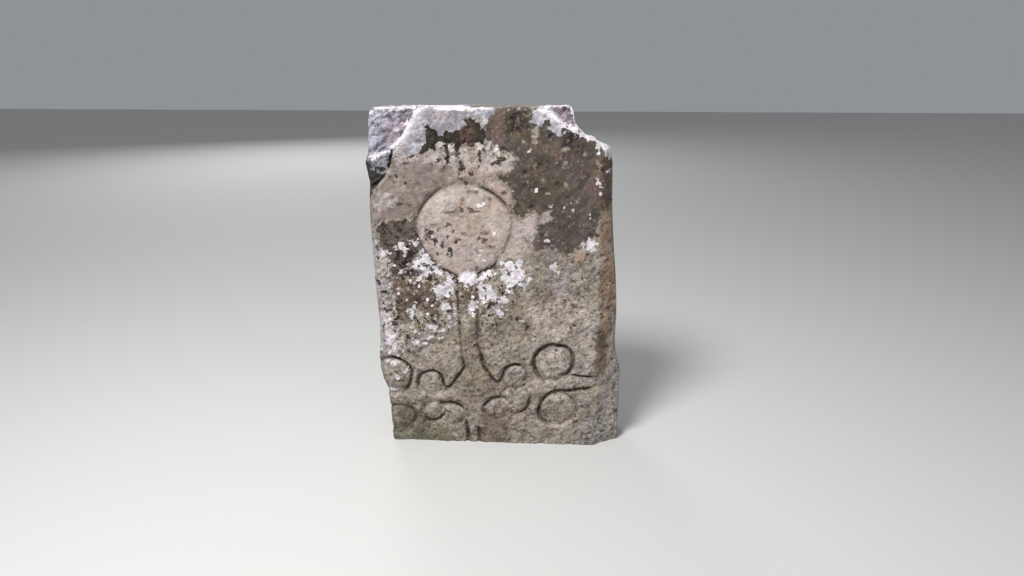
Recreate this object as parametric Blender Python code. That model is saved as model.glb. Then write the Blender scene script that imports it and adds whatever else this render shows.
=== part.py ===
# Grave slab: one upright slab of sandstone with an incised cross and disc, broken at both top corners.
# Metres, Z up, X to the viewer's right, the carved face towards -Y. It stands on Z = 0, centred on X = Y = 0.

import math

import bmesh
import bpy
import numpy as np

# Driving dimensions of the stone
SLAB_HEIGHT = 0.883
SLAB_WIDTH = 0.640
SLAB_THICKNESS = 0.150
TOP_FALL = 0.006

# The two long edges of the face are chamfered, the right one ever wider towards the foot
RIGHT_CHAMFER_HEAD = 0.020
RIGHT_CHAMFER_FOOT = 0.070
RIGHT_CHAMFER_DEPTH = 0.055
LEFT_CHAMFER = 0.012
LEFT_CHAMFER_DEPTH = 0.032
TOP_ROUNDING = 0.005
BACK_ROUNDING = 0.014

# How far the dressed face and the rough back dip behind their outermost planes
FACE_WAVE = 0.003
BACK_WAVE = 0.008

# The mason's cut: V-shaped, fading out at both ends of a stroke
GROOVE_WIDTH = 0.0110
GROOVE_DEPTH = 0.0075
GROOVE_FADE = 0.018
GROOVE_STEP = 0.009

# The lost pieces of the front bed at the two top corners
LEFT_SPALL_DEPTH = 0.038
LEFT_SPALL_BEVEL = 0.016
CHUNK_DEPTH = 0.020
CHUNK_BEVEL = 0.008
CRACK_DEPTH = 0.034
RIGHT_SPALL_DEPTH = 0.030
RIGHT_SPALL_BEVEL = 0.008
LOST_CORNER_FALL = 0.026

# How far a cutter stands out of the stone that it cuts
GROOVE_CLEARANCE = 0.004
BREAK_CLEARANCE = 0.050

# Outlines and carving are drawn on a template of this many units, which is stretched over the slab
TEMPLATE_WIDTH = 64.0
TEMPLATE_HEIGHT = 88.3

# Sides of the slab, from the foot up, as (height, place across) on the template
LEFT_SIDE = (
    (0.0, -29.2), (13.3, -29.8), (19.5, -30.9), (34.5, -31.2), (45.7, -31.6), (60.0, -31.7),
    (71.9, -31.7), (75.1, -32.0), (78.2, -31.5), (82.8, -31.2), (86.5, -30.6), (88.3, -29.8),
)
RIGHT_SIDE = (
    (0.0, 32.0), (19.5, 32.0), (21.8, 31.8), (25.0, 30.7), (27.5, 30.4), (37.2, 30.3),
    (45.3, 29.8), (53.2, 29.0), (62.3, 28.2), (70.7, 27.8), (88.3, 27.4),
)

# Edges of the breaks, from the top of the stone down, as (place across, height) on the template
LEFT_BREAK = (
    (-16.0, 95.0), (-17.1, 88.2), (-18.2, 86.3), (-19.6, 84.7), (-20.8, 82.5), (-23.2, 80.5),
    (-24.5, 78.3), (-24.8, 76.8), (-26.4, 72.6), (-27.5, 70.5), (-29.9, 68.4), (-34.0, 67.8),
)
CHUNK_RIDGE = ((-24.4, 78.8), (-27.2, 77.4), (-29.4, 75.6), (-34.0, 73.2))
CHUNK_CRACK = ((-24.7, 78.6), (-25.2, 76.4), (-26.9, 72.3))
RIGHT_BREAK = (
    (10.6, 95.0), (11.5, 88.0), (13.2, 86.8), (15.5, 85.7), (18.6, 84.5), (20.8, 83.2), (36.0, 80.0),
)
LOST_CORNER = (
    (17.8, 95.0), (18.0, 88.0), (18.3, 84.7), (20.9, 81.9), (22.7, 81.5), (24.7, 80.0), (26.8, 78.8),
    (27.5, 77.5), (34.0, 76.6),
)

# The round parts of the carving, as (place across, height, radius) on the template
DISC = (-7.5, 58.3, 11.7)
UPPER_LEFT_BOSS = (-28.0, 18.9, 5.4)
UPPER_LEFT_LOBE = (-17.4, 16.8, 3.7)
UPPER_RIGHT_LOBE = (5.1, 18.9, 3.9)
UPPER_RIGHT_BOSS = (14.5, 23.9, 5.3)
LOWER_LEFT_LOBE = (-17.1, 9.6, 3.8)
LOWER_RIGHT_BOSS = (15.8, 10.3, 4.9)


# An arc about a round part, its angles in degrees from the right, turning upwards
def arc(boss, start, end, count):
    x, z, radius = boss
    angles = [math.radians(start + (end - start) * i / (count - 1)) for i in range(count)]
    return [(x + radius * math.cos(a), z + radius * math.sin(a)) for a in angles]


# Every stroke of the carving, as a line through places on the template
STROKES = {
    "disc_left": arc(DISC, 112, 263, 15),
    "disc_right": arc(DISC, 78, -82, 15),
    "shaft_left": (
        (-10.1, 47.4), (-9.8, 44.8), (-9.4, 39.5), (-9.3, 33.0), (-9.3, 26.0), (-9.0, 20.4),
    ),
    "shaft_right": (
        (-4.9, 47.2), (-5.0, 44.5), (-5.1, 41.5), (-4.9, 35.4), (-4.8, 28.4), (-3.8, 25.0), (-3.2, 20.8),
    ),
    "left_fork": ((-8.5, 21.8), (-10.8, 18.7), (-12.2, 16.8), (-13.6, 15.5)),
    "right_fork": ((-3.8, 22.6), (-2.0, 19.9), (-0.1, 18.0), (1.3, 17.2)),
    "upper_left_lobe": arc(UPPER_LEFT_LOBE, 0, 185, 9),
    "upper_right_lobe": arc(UPPER_RIGHT_LOBE, 192, 60, 8),
    "upper_right_lobe_tick": ((7.5, 21.6), (7.6, 18.4)),
    "upper_left_boss": arc(UPPER_LEFT_BOSS, 96, -52, 8),
    "upper_right_boss": arc(UPPER_RIGHT_BOSS, 233, -48, 16),
    "right_arm_top": ((19.1, 20.6), (22.2, 20.2), (24.9, 20.3)),
    "right_arm_and_lower_boss": (
        (24.8, 17.6), (22.3, 16.8), (19.1, 16.2), (15.9, 15.9), (13.4, 15.0),
        *arc(LOWER_RIGHT_BOSS, 136, 246, 7),
    ),
    "left_arm": ((-15.4, 10.8), (-13.4, 11.8), (-11.4, 11.6), (-8.6, 9.9)),
    "lower_left_lobe": arc(LOWER_LEFT_LOBE, -8, -130, 6),
    "lower_left_boss": ((-24.1, 10.4), (-22.5, 9.2), (-22.0, 7.0), (-22.6, 4.6), (-24.0, 2.8)),
    "centre_hook": ((-4.2, 10.0), (-2.7, 11.6), (-1.0, 13.2), (1.1, 13.5), (2.4, 12.7)),
    "right_hook": ((8.8, 14.7), (8.3, 11.6), (7.4, 9.5), (5.5, 9.1)),
    "foot_left": ((-8.5, 6.4), (-7.8, 3.0), (-7.8, -1.0)),
    "foot_right": ((-5.0, 4.4), (-4.9, -1.0)),
}


# From the template to the slab
def across(x):
    return x * SLAB_WIDTH / TEMPLATE_WIDTH


def upwards(z):
    return z * SLAB_HEIGHT / TEMPLATE_HEIGHT


def on_slab(points):
    return [(across(x), upwards(z)) for x, z in points]


# The surfaces of the whole stone, before it was carved and broken
def side_at(side, z):
    heights, places = zip(*side)
    return across(np.interp(z * TEMPLATE_HEIGHT / SLAB_HEIGHT, heights, places))


def top_at(x):
    return SLAB_HEIGHT - TOP_FALL * (0.5 - x / SLAB_WIDTH)


def share_of_height(z):
    return min(max(z / SLAB_HEIGHT, 0.0), 1.0)


def right_chamfer_at(z):
    return RIGHT_CHAMFER_FOOT + (RIGHT_CHAMFER_HEAD - RIGHT_CHAMFER_FOOT) * share_of_height(z)


# Depth of a chamfer, from 0 at the arris to 1 at the side of the stone: bulging, or hollowed out
def bulging(share):
    return 1.0 - math.sqrt(1.0 - share * share)


def hollowed(share):
    return share**0.6


def face_y(x, z):
    from_left = (x - side_at(LEFT_SIDE, z)) / LEFT_CHAMFER
    from_right = (side_at(RIGHT_SIDE, z) - x) / right_chamfer_at(z)
    left_share = min(max(1.0 - from_left, 0.0), 1.0)
    right_share = min(max(1.0 - from_right, 0.0), 1.0)
    head = share_of_height(z)
    right_form = head * bulging(right_share) + (1.0 - head) * hollowed(right_share)
    wave = math.sin(2.1 * math.pi * x / SLAB_WIDTH + 0.6) * math.cos(1.7 * math.pi * z / SLAB_HEIGHT)
    dip = FACE_WAVE * (1.0 + wave) / 2
    return dip - SLAB_THICKNESS / 2 + LEFT_CHAMFER_DEPTH * bulging(left_share) + RIGHT_CHAMFER_DEPTH * right_form


def back_y(x, z):
    wave = math.sin(2.7 * math.pi * x / SLAB_WIDTH + 1.1) * math.sin(2.3 * math.pi * z / SLAB_HEIGHT + 0.4)
    return SLAB_THICKNESS / 2 - BACK_WAVE * (1.0 + wave) / 2


# A closed skin over rings of points, each ring as long as the next
def loft(name, rings):
    mesh = bpy.data.meshes.new(name)
    bm = bmesh.new()
    rows = [[bm.verts.new(point) for point in ring] for ring in rings]
    count = len(rows[0])
    for low, high in zip(rows, rows[1:]):
        for i in range(count):
            j = (i + 1) % count
            bm.faces.new((low[i], low[j], high[j], high[i]))
    bm.faces.new(reversed(rows[0]))
    bm.faces.new(rows[-1])
    bmesh.ops.recalc_face_normals(bm, faces=bm.faces)
    bm.to_mesh(mesh)
    bm.free()
    made = bpy.data.objects.new(name, mesh)
    bpy.context.scene.collection.objects.link(made)
    return made


def loft_cutter(name, rings):
    made = loft(name, rings)
    made.hide_render = True
    made.display_type = "WIRE"
    return made


# Whole stone: one ring for each level, along the face from left to right and round by the back
FACE_COLUMNS = 9
BACK_COLUMNS = 7
CHAMFER_SHARES = (0.0, 0.35, 0.7)
EXTRA_LEVELS = (5.0, 10.0, 30.0, 41.0, 49.5, 56.5, 66.5, 80.5)


def ring_at(level, inset):
    z = level * SLAB_HEIGHT
    left = side_at(LEFT_SIDE, z) + inset
    right = side_at(RIGHT_SIDE, z) - inset
    chamfer = right_chamfer_at(z)
    face = [left + LEFT_CHAMFER * share for share in CHAMFER_SHARES]
    face += list(np.linspace(left + LEFT_CHAMFER, right - chamfer, FACE_COLUMNS))
    face += [right - chamfer * share for share in reversed(CHAMFER_SHARES)]
    back = list(np.linspace(right - BACK_ROUNDING, left + BACK_ROUNDING, BACK_COLUMNS))
    side_end = SLAB_THICKNESS / 2 - BACK_WAVE - BACK_ROUNDING
    ring = [(x, face_y(x, z) + inset) for x in face]
    ring.append((right, side_end))
    ring += [(x, back_y(x, z) - inset) for x in back]
    ring.append((left, side_end))
    return [(x, y, level * top_at(x)) for x, y in ring]


def build_stone():
    heights = {height for height, _ in (*LEFT_SIDE, *RIGHT_SIDE)} | set(EXTRA_LEVELS)
    levels = sorted(height / TEMPLATE_HEIGHT for height in heights)
    levels[-1] = 1.0 - TOP_ROUNDING / SLAB_HEIGHT
    rings = [ring_at(level, 0.0) for level in levels]
    rings.append(ring_at(1.0, TOP_ROUNDING))
    return loft("grave_slab", rings)


# A break that leaves a bed at one depth, its wall leaning in from the edge on the face
def break_cutter(name, edge, beyond, depth, bevel, lean_degrees):
    lean = math.radians(lean_degrees)
    rings = []
    for y, shift in ((-BREAK_CLEARANCE, -bevel * BREAK_CLEARANCE / depth), (depth, bevel)):
        wall = [(x + shift * math.cos(lean), z + shift * math.sin(lean)) for x, z in on_slab(edge)]
        rings.append([(x, y - SLAB_THICKNESS / 2, z) for x, z in (*wall, *on_slab(beyond))])
    return loft_cutter(name, rings)


# A corner lost through the whole thickness, its wall falling towards the back
def corner_cutter(name, edge, beyond, fall):
    rings = []
    for y in (-SLAB_THICKNESS / 2 - BREAK_CLEARANCE, SLAB_THICKNESS / 2 + BREAK_CLEARANCE):
        drop = fall * (y / SLAB_THICKNESS + 0.5)
        wall = [(x, y, z - drop) for x, z in on_slab(edge)]
        rings.append(wall + [(x, y, z) for x, z in on_slab(beyond)])
    return loft_cutter(name, rings)


def break_cutters():
    deep_edge = (*LEFT_BREAK[:6], *CHUNK_RIDGE)
    left_end = ((-40.0, 67.8), (-40.0, 95.0))
    ridge_end = ((-40.0, 73.2), (-40.0, 95.0))
    right_end = ((40.0, 80.0), (40.0, 95.0))
    corner_end = ((40.0, 70.0), (40.0, 95.0))
    return [
        break_cutter("cut_chunk", LEFT_BREAK, left_end, CHUNK_DEPTH, CHUNK_BEVEL, 142),
        break_cutter("cut_left_spall", deep_edge, ridge_end, LEFT_SPALL_DEPTH, LEFT_SPALL_BEVEL, 142),
        break_cutter("cut_right_spall", RIGHT_BREAK, right_end, RIGHT_SPALL_DEPTH, RIGHT_SPALL_BEVEL, 55),
        corner_cutter("cut_lost_corner", LOST_CORNER, corner_end, LOST_CORNER_FALL),
    ]


# A smooth line through the places of a stroke, with how far along it each point lies
def stroke_line(points):
    control = np.array(on_slab(points))
    control = np.vstack((2 * control[0] - control[1], control, 2 * control[-1] - control[-2]))
    fine = []
    for a, b, c, d in zip(control, control[1:], control[2:], control[3:]):
        for t in np.linspace(0.0, 1.0, 12, endpoint=False):
            bend = (2 * a - 5 * b + 4 * c - d) * t**2 + (3 * b - a - 3 * c + d) * t**3
            fine.append(b + 0.5 * ((c - a) * t + bend))
    fine = np.array([*fine, control[-2]])
    steps = np.linalg.norm(np.diff(fine, axis=0), axis=1)
    run = np.concatenate(([0.0], np.cumsum(steps)))
    places = np.linspace(0.0, run[-1], max(3, round(run[-1] / GROOVE_STEP) + 1))
    line = np.column_stack([np.interp(places, run, fine[:, i]) for i in (0, 1)])
    return line, places


def stroke_cutter(name, points, width, depth):
    line, places = stroke_line(points)
    ahead = np.gradient(line, axis=0)
    ahead /= np.linalg.norm(ahead, axis=1, keepdims=True)
    rings = []
    for (x, z), (ahead_x, ahead_z), place in zip(line, ahead, places):
        to_end = min(place, places[-1] - place)
        fade = min(1.0, 0.3 + 0.7 * to_end / GROOVE_FADE)
        half = fade * width / 2 + GROOVE_CLEARANCE * width / (2 * depth)
        y = face_y(x, z)
        rings.append((
            (x - ahead_z * half, y - GROOVE_CLEARANCE, z + ahead_x * half),
            (x + ahead_z * half, y - GROOVE_CLEARANCE, z - ahead_x * half),
            (x, y + fade * depth, z),
        ))
    return loft_cutter(name, rings)


def carving_cutters():
    made = [stroke_cutter("cut_" + name, line, GROOVE_WIDTH, GROOVE_DEPTH) for name, line in STROKES.items()]
    made.append(stroke_cutter("cut_chunk_crack", CHUNK_CRACK, GROOVE_WIDTH, CRACK_DEPTH))
    return made


def stone_material():
    material = bpy.data.materials.new("weathered_sandstone")
    material.use_nodes = True
    shader = material.node_tree.nodes["Principled BSDF"]
    shader.inputs["Base Color"].default_value = (0.27, 0.23, 0.19, 1.0)
    shader.inputs["Roughness"].default_value = 0.9
    shader.inputs["Metallic"].default_value = 0.0
    return material


def main():
    for old in list(bpy.data.objects):
        bpy.data.objects.remove(old)
    slab = build_stone()
    for tool in (*break_cutters(), *carving_cutters()):
        cut = slab.modifiers.new(tool.name, "BOOLEAN")
        cut.operation = "DIFFERENCE"
        cut.solver = "EXACT"
        cut.object = tool
    slab.data.materials.append(stone_material())


main()
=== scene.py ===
import math

import bpy
import numpy as np
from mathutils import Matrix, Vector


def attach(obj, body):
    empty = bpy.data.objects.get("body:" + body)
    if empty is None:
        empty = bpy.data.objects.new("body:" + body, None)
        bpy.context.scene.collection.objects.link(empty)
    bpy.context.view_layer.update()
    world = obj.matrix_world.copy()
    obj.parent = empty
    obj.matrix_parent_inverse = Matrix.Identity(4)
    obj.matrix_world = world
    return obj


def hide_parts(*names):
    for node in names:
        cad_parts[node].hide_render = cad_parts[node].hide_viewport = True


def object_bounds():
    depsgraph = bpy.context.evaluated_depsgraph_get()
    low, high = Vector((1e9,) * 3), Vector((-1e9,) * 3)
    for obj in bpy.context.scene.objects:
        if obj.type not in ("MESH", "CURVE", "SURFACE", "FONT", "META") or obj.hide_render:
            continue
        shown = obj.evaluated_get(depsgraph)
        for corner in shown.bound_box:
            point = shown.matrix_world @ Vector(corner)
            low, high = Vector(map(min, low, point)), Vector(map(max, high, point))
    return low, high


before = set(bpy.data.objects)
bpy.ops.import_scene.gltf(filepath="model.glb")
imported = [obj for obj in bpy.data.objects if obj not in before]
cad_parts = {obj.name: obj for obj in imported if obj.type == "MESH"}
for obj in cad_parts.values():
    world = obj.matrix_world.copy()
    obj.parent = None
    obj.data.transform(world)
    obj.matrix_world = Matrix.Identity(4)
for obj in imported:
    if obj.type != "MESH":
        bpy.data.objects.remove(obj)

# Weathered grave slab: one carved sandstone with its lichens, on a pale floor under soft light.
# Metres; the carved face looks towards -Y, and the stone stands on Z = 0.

cadBox = [list(corner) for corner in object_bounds()]
cadLow, cadHigh = np.array(cadBox[0]), np.array(cadBox[1])
print("frame loaded")


# camera and light

view = {
    "place": (0.1373, -1.7171, 0.9905),
    "downDegrees": 18.4,
    "leftDegrees": 3.5,
    "lens": 24.43,
    "sensor": 36.0,
}

studio = {
    "floorSize": 24.0,
    "floorColor": (0.58, 0.575, 0.56),
    "floorRoughness": 0.9,
    "skyColor": (0.82, 0.85, 0.90),
    "skyStrength": 0.34,
    "aimHeight": 0.45,
    "keyPlace": (-0.75, -1.45, 2.75),
    "keySize": 0.9,
    "keyPower": 104.0,
    "fillPlace": (2.2, -2.0, 1.2),
    "fillSize": 2.4,
    "fillPower": 12.0,
    "rearPlace": (-2.6, 6.0, 3.2),
    "rearSize": 3.0,
    "rearPower": 140.0,
}


def makeCamera():
    camera = bpy.data.objects.new("camera", bpy.data.cameras.new("camera"))
    bpy.context.scene.collection.objects.link(camera)
    camera.location = view["place"]
    camera.rotation_euler = (math.radians(90 - view["downDegrees"]), 0, math.radians(view["leftDegrees"]))
    camera.data.sensor_width = view["sensor"]
    camera.data.lens = view["lens"]
    bpy.context.scene.camera = camera


def makeLamp(name, place, size, power):
    lamp = bpy.data.objects.new(name, bpy.data.lights.new(name, "AREA"))
    bpy.context.scene.collection.objects.link(lamp)
    lamp.data.shape = "DISK"
    lamp.data.size = size
    lamp.data.energy = power
    lamp.location = place
    toSlab = np.array((0.0, 0.0, studio["aimHeight"])) - np.array(place)
    flat = math.hypot(toSlab[0], toSlab[1])
    lamp.rotation_euler = (math.pi / 2 + math.atan2(toSlab[2], flat), 0, math.atan2(-toSlab[0], toSlab[1]))


def makeStudio():
    half = studio["floorSize"] / 2
    mesh = bpy.data.meshes.new("studioFloor")
    corners = [(-half, -half, 0), (half, -half, 0), (half, half, 0), (-half, half, 0)]
    mesh.from_pydata(corners, [], [(0, 1, 2, 3)])
    floor = bpy.data.objects.new("studioFloor", mesh)
    bpy.context.scene.collection.objects.link(floor)
    material = bpy.data.materials.new("paleFloor")
    material.use_nodes = True
    shader = material.node_tree.nodes["Principled BSDF"]
    shader.inputs["Base Color"].default_value = (*studio["floorColor"], 1)
    shader.inputs["Roughness"].default_value = studio["floorRoughness"]
    mesh.materials.append(material)
    world = bpy.data.worlds.new("softSky")
    world.use_nodes = True
    world.node_tree.nodes["Background"].inputs["Color"].default_value = (*studio["skyColor"], 1)
    world.node_tree.nodes["Background"].inputs["Strength"].default_value = studio["skyStrength"]
    bpy.context.scene.world = world
    bpy.context.scene.view_settings.view_transform = "Standard"
    for lamp in ("key", "fill", "rear"):
        makeLamp(lamp + "Light", studio[lamp + "Place"], studio[lamp + "Size"], studio[lamp + "Power"])


makeCamera()
makeStudio()
print("camera and studio made")


# numbers over arrays

def smoothStep(low, high, value):  # cubic ease from 0 at low to 1 at high
    share = np.clip((value - low) / (high - low), 0, 1)
    return share * share * (3 - 2 * share)


def cornerHash(ix, iy, iz, seed):  # a fixed random number from -1 to 1 for each whole-number corner
    mix = ix.astype(np.uint32) * np.uint32(374761393) + iy.astype(np.uint32) * np.uint32(668265263)
    mix = mix + iz.astype(np.uint32) * np.uint32(2246822519) + np.uint32((seed * 3266489917) % 4294967296)
    mix = (mix ^ (mix >> np.uint32(13))) * np.uint32(1274126177)
    mix = (mix ^ (mix >> np.uint32(16))) * np.uint32(2654435761)
    return (mix ^ (mix >> np.uint32(15))).astype(np.float64) / 2147483647.5 - 1


def valueNoise(points, size, seed):  # the corners' numbers, eased from corner to corner of a lattice
    scaled = points / size + 1000
    cell = np.floor(scaled)
    part = scaled - cell
    part = part * part * (3 - 2 * part)
    cell = cell.astype(np.int64)
    total = np.zeros(len(points))
    for corner in range(8):
        dx, dy, dz = corner & 1, corner >> 1 & 1, corner >> 2 & 1
        weight = (part[:, 0] if dx else 1 - part[:, 0]) * (part[:, 1] if dy else 1 - part[:, 1])
        weight = weight * (part[:, 2] if dz else 1 - part[:, 2])
        total += weight * cornerHash(cell[:, 0] + dx, cell[:, 1] + dy, cell[:, 2] + dz, seed)
    return total


def layeredNoise(points, size, layers, seed):  # noise of halved size and halved weight, layer on layer
    total, weight = np.zeros(len(points)), 0.0
    for layer in range(layers):
        total += valueNoise(points, size / 2**layer, seed + 31 * layer) / 2**layer
        weight += 1 / 2**layer
    return total / weight * 1.6


def smoothLine(points, spacing):  # a curve through the points, bent by their neighbours, in even steps
    control = np.array(points, float)
    control = np.vstack((2 * control[0] - control[1], control, 2 * control[-1] - control[-2]))
    share = np.linspace(0, 1, 24, endpoint=False)[:, None]
    parts = []
    for a, b, c, d in zip(control, control[1:], control[2:], control[3:]):
        bend = (2 * a - 5 * b + 4 * c - d) * share**2 + (3 * b - a - 3 * c + d) * share**3
        parts.append(b + 0.5 * ((c - a) * share + bend))
    fine = np.vstack((*parts, control[-2:-1]))
    length = np.linalg.norm(np.diff(fine, axis=0), axis=1).sum()
    return lineAt(fine, np.linspace(0, 1, max(2, round(length / spacing) + 1)))


def lineAt(line, shares):  # places on the line at the given shares of its length
    run = np.concatenate(([0], np.cumsum(np.linalg.norm(np.diff(line, axis=0), axis=1))))
    return np.column_stack([np.interp(shares * run[-1], run, line[:, i]) for i in range(line.shape[1])])


def lineDistance(spots, line):  # distance of each spot to the nearest piece of the line, and where along it
    best = np.full(len(spots), 1e9)
    along = np.zeros(len(spots))
    run = 0.0
    for start, end in zip(line, line[1:]):
        step = end - start
        length = math.hypot(*step)
        share = np.clip((spots - start) @ step / length**2, 0, 1)
        gap = np.hypot(*(spots - start - share[:, None] * step).T)
        nearer = gap < best
        best = np.where(nearer, gap, best)
        along = np.where(nearer, run + share * length, along)
        run += length
    return best, along, run


def nearShape(spots, corners, margin):  # which spots lie in the shape's box, widened by the margin
    low, high = corners.min(0) - margin, corners.max(0) + margin
    return np.flatnonzero(np.all((spots > low) & (spots < high), axis=1))


def insideShape(spots, corners):  # odd number of edges crossed on the way to the right
    inside = np.zeros(len(spots), bool)
    for start, end in zip(corners, np.roll(corners, -1, axis=0)):
        crosses = (start[1] > spots[:, 1]) != (end[1] > spots[:, 1])
        rise = end[1] - start[1] if end[1] != start[1] else 1e-9
        at = start[0] + (spots[:, 1] - start[1]) / rise * (end[0] - start[0])
        inside ^= crosses & (spots[:, 0] < at)
    return inside


# the stone: its outline, breaks and carving, drawn in centimetres on the face

slab = {
    "thickness": 0.1498,
    "leftSide": [
        (-29.2, 0), (-29.6, 8), (-29.8, 13.3), (-31.1, 18.5), (-31.7, 22.0), (-31.5, 25.5), (-31.15, 29),
        (-31.2, 34.5), (-31.5, 45.7), (-31.7, 60), (-31.6, 66), (-31.3, 70), (-31.7, 73), (-31.95, 75.1),
        (-31.5, 78.2), (-31.2, 82.8), (-30.7, 86.4), (-30.0, 87.5),
    ],
    "top": [
        (-30.0, 87.5), (-29.1, 87.75), (-26, 87.8), (-20, 87.9), (-14, 87.85), (-8, 87.95), (-2, 87.9),
        (5, 88.05), (11, 88.1), (16.6, 88.1), (17.5, 87.7), (17.95, 86.6), (18.2, 84.9), (18.7, 84.2),
        (19.7, 83.1), (20.9, 81.9), (22.0, 81.65), (22.9, 81.3), (23.7, 80.5), (24.7, 80.0), (25.6, 79.7),
        (26.8, 78.8), (27.4, 77.3),
    ],
    "rightSide": [
        (32.0, 0), (32.0, 10), (31.95, 19.5), (31.7, 21.8), (30.8, 25), (30.4, 27.5), (30.25, 31),
        (30.3, 37.2), (29.8, 45.3), (29.0, 53.2), (28.2, 62.3), (27.8, 70.7), (27.65, 75), (27.4, 77.3),
    ],
    "leftChamfer": 0.013,
    "leftChamferDepth": 0.032,
    "rightChamferHead": 0.021,
    "rightChamferFoot": 0.070,
    "rightChamferDepth": 0.055,
    "topRounding": 0.011,
    "backRounding": 0.010,
    "cornerFall": 0.026,
    "backWave": 0.009,
    "backChips": 0.0024,
    "backSteps": 0.0035,
    "sideWear": 0.0035,
    "wave": 0.0016,
    "waveSize": 0.19,
    "ripple": 0.0010,
    "rippleSize": 0.045,
    "pits": 0.0018,
    "deepPits": 0.0035,
    "pitSize": 0.017,
    "acrossSteps": 220,
    "upSteps": 308,
    "rimSteps": 17,
    "fineRings": 2,
}

breaks = {
    "left": [
        (-16.0, 95), (-17.0, 88.2), (-18.2, 86.9), (-19.4, 85.2), (-20.6, 82.9), (-22.2, 81.0),
        (-23.6, 79.7), (-24.6, 78.3), (-25.0, 76.6), (-25.6, 74.4), (-26.4, 72.2), (-27.7, 70.3),
        (-29.6, 68.8), (-34.0, 66.6),
    ],
    "leftEnd": [(-40, 66.6), (-40, 95)],
    "deepPart": 8,
    "ridge": [(-25.6, 78.2), (-26.8, 77.5), (-28.2, 76.7), (-29.6, 75.9), (-34.0, 74.2)],
    "ridgeEnd": [(-40, 74.2), (-40, 95)],
    "right": [
        (9.6, 95), (10.2, 88.2), (11.6, 87.2), (13.2, 86.4), (14.3, 85.6), (15.1, 84.6), (16.2, 83.9),
        (18.6, 83.4), (20.8, 82.9), (36, 80),
    ],
    "rightEnd": [(40, 80), (40, 95)],
    "leftDepth": 0.036,
    "leftBevel": 0.015,
    "chunkDepth": 0.006,
    "chunkTilt": 0.006,
    "chunkBevel": 0.008,
    "rightDepth": 0.028,
    "rightBevel": 0.009,
    "cobbleSize": 0.032,
    "cobbleDepth": 0.0042,
}

# clefts in the broken beds: line, width and depth in centimetres
clefts = [
    ([(-24.8, 78.7), (-25.1, 77.6), (-25.5, 76.2), (-25.9, 74.6), (-26.6, 73.0)], 0.8, 1.5),
    ([(-26.4, 73.2), (-27.6, 71.5), (-29.2, 70.0), (-31.4, 68.8)], 0.8, 0.6),
    ([(-28.4, 74.4), (-27.8, 73.4), (-28.2, 72.4)], 0.6, 0.4),
    ([(-30.7, 74.4), (-30.1, 73.0), (-30.5, 71.4)], 0.5, 0.35),
    ([(-29.4, 76.9), (-28.4, 77.6), (-27.4, 78.4), (-26.9, 79.0)], 0.6, 1.0),
    ([(-24.5, 79.3), (-24.1, 80.4), (-23.3, 81.2), (-22.5, 82.2)], 0.6, 1.0),
    ([(-20.9, 84.8), (-20.6, 85.6), (-20.2, 86.3)], 0.6, 0.7),
    ([(-26.6, 81.5), (-25.6, 82.3)], 0.6, 0.8),
    ([(-24.4, 85.0), (-22.8, 85.9), (-21.4, 87.4)], 0.5, 0.5),
    ([(-28.6, 84.6), (-26.4, 85.6), (-24.8, 84.4)], 0.5, 0.5),
    ([(15.3, 86.4), (15.9, 87.4), (15.4, 88.4)], 0.6, 0.8),
    ([(16.4, 87.6), (17.4, 87.1)], 0.6, 0.7),
]

# round parts as (across, height, radius), each a little domed
roundParts = [
    (-8.2, 58.4, 11.9), (-28.0, 18.9, 5.4), (-17.9, 17.1, 3.6), (4.0, 19.3, 3.7), (14.4, 23.6, 5.2),
    (-17.4, 8.8, 3.4), (15.6, 10.4, 5.0), (-26.6, 6.2, 4.4), (4.4, 12.4, 4.3), (-12.2, 8.0, 3.4),
    (-0.3, 10.2, 3.6),
]

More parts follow.
